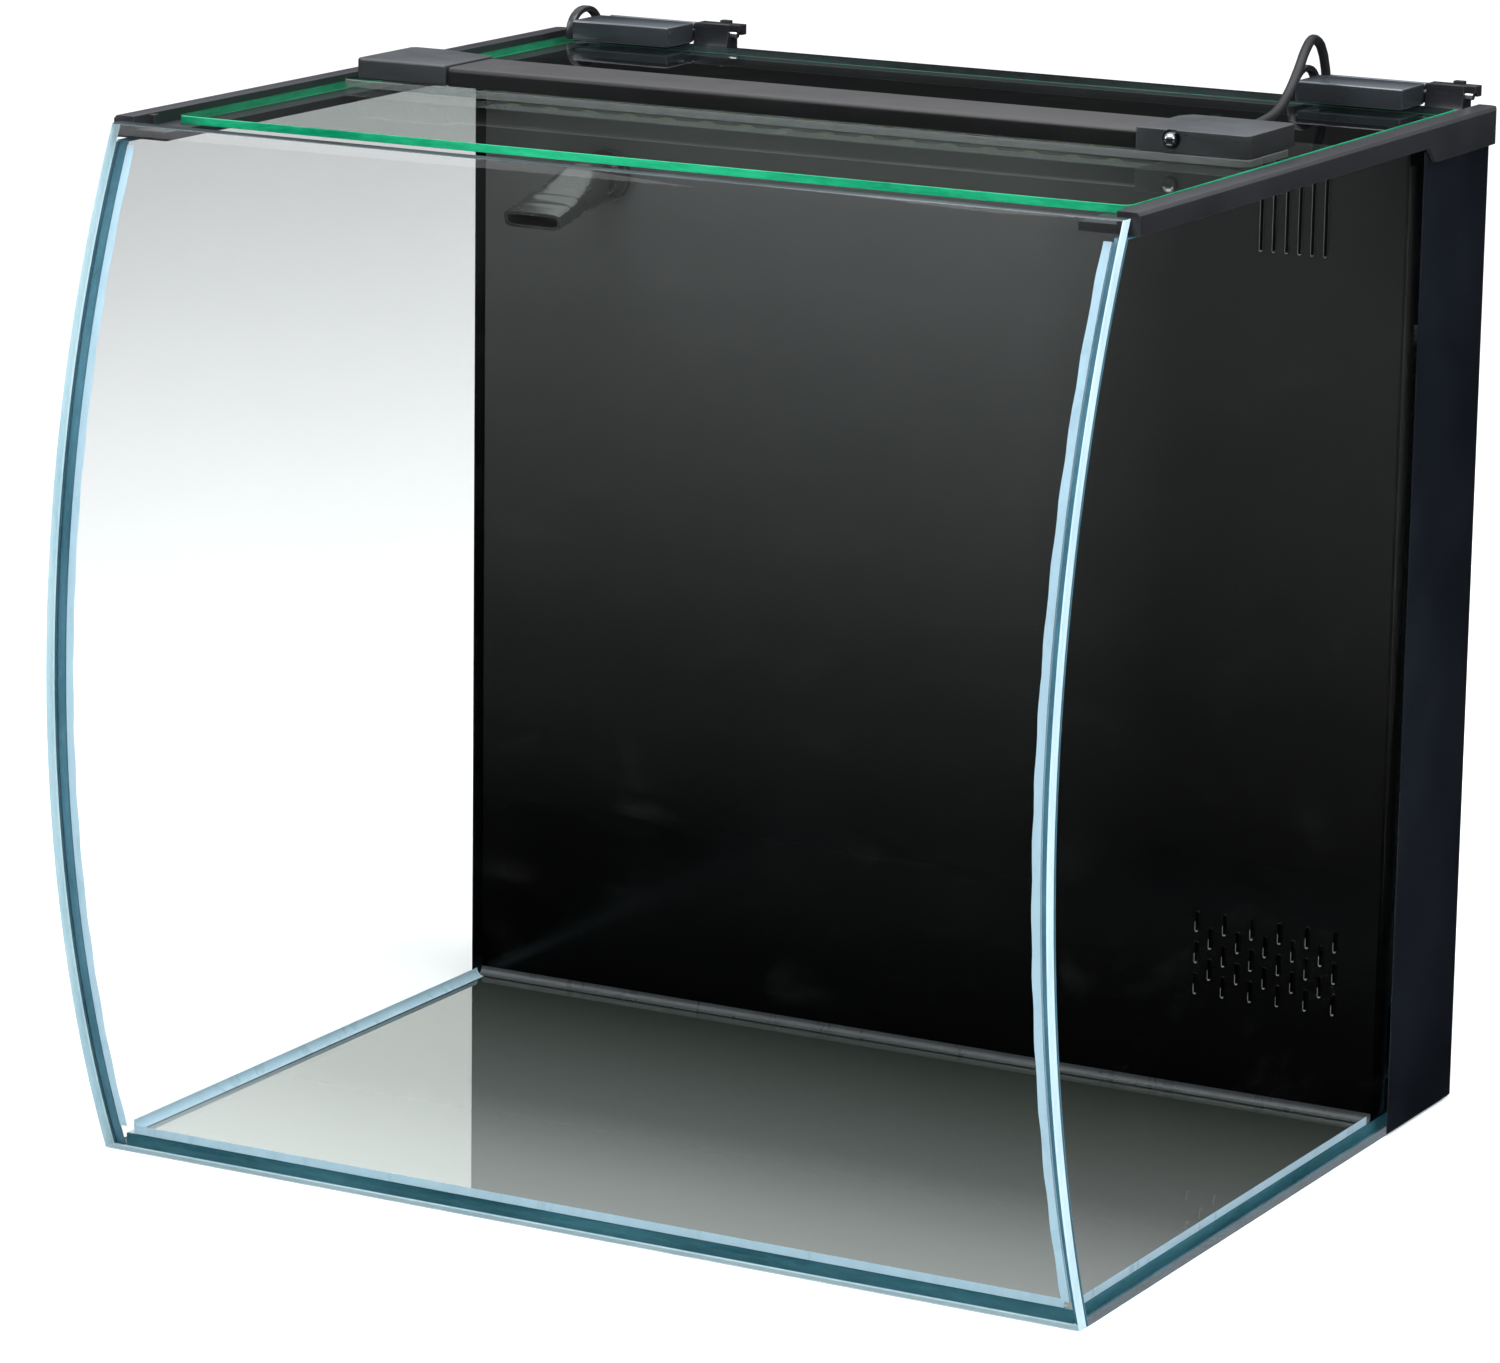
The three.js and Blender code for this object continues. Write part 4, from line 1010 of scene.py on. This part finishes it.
def make_hinges():
    """Each clamp gets a cover, so that it reads as one flush block."""
    slack, front, back, foot = 0.05, 299.95, 321.4, 380.2
    for side in ("left", "right"):
        refined("hinge_base_" + side, HINGE, 0.35, 3)
        refined("hinge_clamp_" + side, CLAMP, 0.6, 3)
        refined("cable_loop_" + side, HINGE, 0.7, 3)
        lo, hi = (v * 1000 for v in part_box("hinge_clamp_" + side))
        cover = box_mesh((lo.x - slack, front, foot), (hi.x + slack, back, hi.z))
        obj = new_object("clamp_cover_" + side, to_frame(cover[0]), cover[1], [CLAMP])
        soften(obj, 0.8, 4)
        settle(obj, "lid")
        refined("hinge_pin_" + side, STEEL, 0.25)


# ---------------------------------------------------------------- outlet
OUTLET_AT = (-139, 246.5, 335)
BALL_R = 7.2
BILL_SIDES = 56
RIBS = ((30, 31.4), (37, 38.4))  # two raised bands round the bill


def nozzle_rings(inset):
    """Rings of the flattening bill, from round at the collar to a slot at the mouth."""
    # distance from the ball, half width, half height
    keys = [
        (4.2, 9.4, 9.4), (8, 9.5, 9.3), (12, 9.6, 8.6), (18, 10.2, 6.6), (24, 11, 5.0), (34, 12, 3.7),
        (46.5, 12.4, 3.4),
    ]
    rings = []
    steps = 30
    for i in range(steps + 1):
        d = keys[0][0] + (keys[-1][0] - keys[0][0]) * i / steps
        for (d0, h0, t0), (d1, h1, t1) in zip(keys, keys[1:]):
            if d <= d1 + 1e-6:
                f = (d - d0) / (d1 - d0)
                half, thick = h0 + (h1 - h0) * f, t0 + (t1 - t0) * f
                break
        if inset == 0 and any(a < d < b for a, b in RIBS):
            half += 0.35
            thick += 0.35
        power = 1 - 0.6 * min(1, d / 30)
        ring = []
        for k in range(BILL_SIDES):
            a = 2 * math.pi * k / BILL_SIDES
            c, s = math.cos(a), math.sin(a)
            wide = math.copysign(abs(c) ** power, c) * (half - inset)
            ring.append(Vector((wide, -d, math.copysign(abs(s) ** power, s) * (thick - inset))))
        rings.append(ring)
    return rings


def make_outlet():
    outer, inner = nozzle_rings(0), nozzle_rings(1.3)
    loops = outer + inner[::-1]
    n = BILL_SIDES
    tilt = Matrix.Rotation(math.radians(13), 3, "X")
    verts = [tilt @ v + Vector(OUTLET_AT) for ring in loops for v in ring]
    faces = []
    for i in range(len(loops)):
        a, b = i * n, ((i + 1) % len(loops)) * n
        for k in range(n):
            j = (k + 1) % n
            faces.append((a + k, a + j, b + j, b + k))
    bill = new_object("outlet_bill", to_frame(verts), faces, [OUTLET], 45)
    settle(bill, "nozzle", ["nozzle_bill"])
    bore = 3.6
    a0 = math.asin(bore / BALL_R)
    angles = [a0 + (math.pi - 2 * a0) * k / 30 for k in range(31)]
    ball_loop = [(BALL_R * math.cos(a), BALL_R * math.sin(a)) for a in angles]
    verts, faces = ring_mesh(ball_loop, OUTLET_AT, 44)
    obj = new_object("outlet_ball", to_frame(verts), faces, [OUTLET], 40)
    settle(obj, "nozzle_ball", ["nozzle_ball"])
    refined("outlet_elbow", OUTLET, 0.25, 2, 40)
    refined("elbow_nut", OUTLET, 0.5, 2, 40)
    loops = []
    low, high = 61.0, 312.5
    z = low
    while z < 312:
        loops += [(z, 8.4), (z + 1.6, 8.4), (z + 2.2, 7.5), (z + 3.2, 7.5), (z + 3.8, 8.4)]
        z += 4.2
    wall = [(a, r) for a, r in loops if a < high - 0.1] + [(high, 8.2), (high, 6.5), (low, 6.5)]
    verts, faces = ring_mesh(wall, (OUTLET_AT[0], 288, 0), 28, "z")
    hose = new_object("ribbed_hose", to_frame(verts), faces, [RUBBER], 40)
    settle(hose, "tank", ["pump_hose"])


def ring_mesh(section, centre, sides, axis="y"):
    """A closed ring turned about an axis from a closed section of (along, radius)."""
    n = len(section)
    verts, faces = [], []
    for k in range(sides):
        a = 2 * math.pi * k / sides
        for along, r in section:
            u, v = r * math.cos(a), r * math.sin(a)
            place = (u, along, v) if axis == "y" else (u, v, along)
            verts.append(Vector(centre) + Vector(place))
    for k in range(sides):
        p, q = k * n, ((k + 1) % sides) * n
        for i in range(n):
            j = (i + 1) % n
            faces.append((p + i, q + i, q + j, p + j))
    bm = bmesh.new()
    made = [bm.verts.new(v) for v in verts]
    for f in faces:
        bm.faces.new([made[i] for i in f])
    bmesh.ops.recalc_face_normals(bm, faces=bm.faces)
    bm.verts.index_update()
    out = [v.co.copy() for v in bm.verts], [tuple(v.index for v in f.verts) for f in bm.faces]
    bm.free()
    return out


# ---------------------------------------------------------------- filter compartment
def soft_block(name, node, mat, amount_mm, scale, cuts=26, seed=1):
    """A foam or wadding block: its CAD box, cut fine, rounded, and pushed in by noise."""
    lo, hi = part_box(node)
    bm = bmesh.new()
    bmesh.ops.create_cube(bm, size=1)
    side = hi - lo
    longest = max(side)
    for axis in range(3):
        n = max(2, int(cuts * side[axis] / longest * 1.4))
        edges = [e for e in bm.edges if abs((e.verts[0].co - e.verts[1].co)[axis]) > 1e-6]
        bmesh.ops.subdivide_edges(bm, edges=edges, cuts=n, use_grid_fill=True)
    mid = (lo + hi) / 2
    for v in bm.verts:
        c = v.co.copy()
        edge = sum(1 for k in range(3) if abs(abs(c[k]) - 0.5) < 1e-4)
        p = Vector(c[k] * side[k] for k in range(3))
        inward = Vector(-math.copysign(1, c[k]) if abs(abs(c[k]) - 0.5) < 1e-4 else 0 for k in range(3))
        h = 0.5 + 0.5 * mnoise.fractal(Vector(p) * scale + Vector((seed, 0, 0)), 0.8, 2.1, 4)
        push = amount_mm / 1000 * (max(0.0, min(1.0, h)) + (0.8 if edge > 1 else 0))
        v.co = mid + p + inward * push
    mesh = bpy.data.meshes.new(name)
    bm.to_mesh(mesh)
    bm.free()
    obj = bpy.data.objects.new(name, mesh)
    scene.collection.objects.link(obj)
    mesh.materials.append(mat)
    shade(obj, 80)
    return settle(obj, BODY[node], [node])


def make_rings():
    """Loose ceramic rings, tumbled in the lower part of the basket."""
    rng = random.Random(7)
    lo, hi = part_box("ceramic_media")
    verts, faces = [], []
    sides = 12
    step = 0.0098
    half, outside, bore = 0.0031, 0.0035, 0.0017
    section = ((-half, outside), (half, outside), (half, bore), (-half, bore))
    nx, ny, nz = (int((hi[k] - lo[k]) / step) for k in range(3))
    for ix in range(nx):
        for iy in range(ny):
            for iz in range(nz):
                if 0 < ix < nx - 1 and 0 < iy < ny - 1 and iz < nz - 1:
                    continue
                cell = ((ix, nx), (iy, ny), (iz, nz))
                c = Vector(lo[k] + (hi[k] - lo[k]) * (i + 0.5) / n for k, (i, n) in enumerate(cell))
                angle = rng.uniform(0, 6.28)
                axis = Vector((rng.uniform(-1, 1), rng.uniform(-1, 1), rng.uniform(-1, 1) + 0.01))
                turn = Matrix.Rotation(angle, 3, axis.normalized())
                n = len(verts)
                for along, r in section:
                    for k in range(sides):
                        a = 2 * math.pi * k / sides
                        verts.append(c + turn @ Vector((r * math.cos(a), r * math.sin(a), along)))
                for q in range(4):
                    for k in range(sides):
                        j = (k + 1) % sides
                        a, b = n + q * sides, n + ((q + 1) % 4) * sides
                        faces.append((a + k, a + j, b + j, b + k))
    obj = new_object("ceramic_rings", verts, faces, [CERAMIC], 40)
    settle(obj, "tank", ["ceramic_media"])


def make_filter():
    soft_block("sponge", "coarse_sponge", FOAM, 1.6, 150, 44, 1)
    soft_block("floss", "filter_floss", FLOSS, 2.6, 60, 34, 5)
    soft_block("carbon_bag", "carbon_pad", CARBON, 1.8, 130, 40, 9)
    make_rings()
    refined("media_basket", FILTER, 0.35)
    refined("basket_handle", FILTER, 0.5, 3)
    refined("pump_casing", FILTER, 0.8, 3, 40)
    refined("pump_cover", FILTER, 0.4, 2, 40)
    refined("flow_gate", RIM, 0.4)
    refined("pump_impeller", MAGNET, 0.2, 2, 40)
    for i in range(4):
        refined("pump_foot_%d" % (i + 1), RUBBER, 0.3, 3, 30)


def make_rim():
    refined("rim", RIM, 0.55, 3, 25)
    for node in ("film_left", "film_right", "film_rear"):
        refined(node, FILM, 0.12, 2)


make_glass()
make_beads()
make_wall()
make_rim()
make_lid()
make_lamp()
make_hinges()
make_outlet()
make_filter()
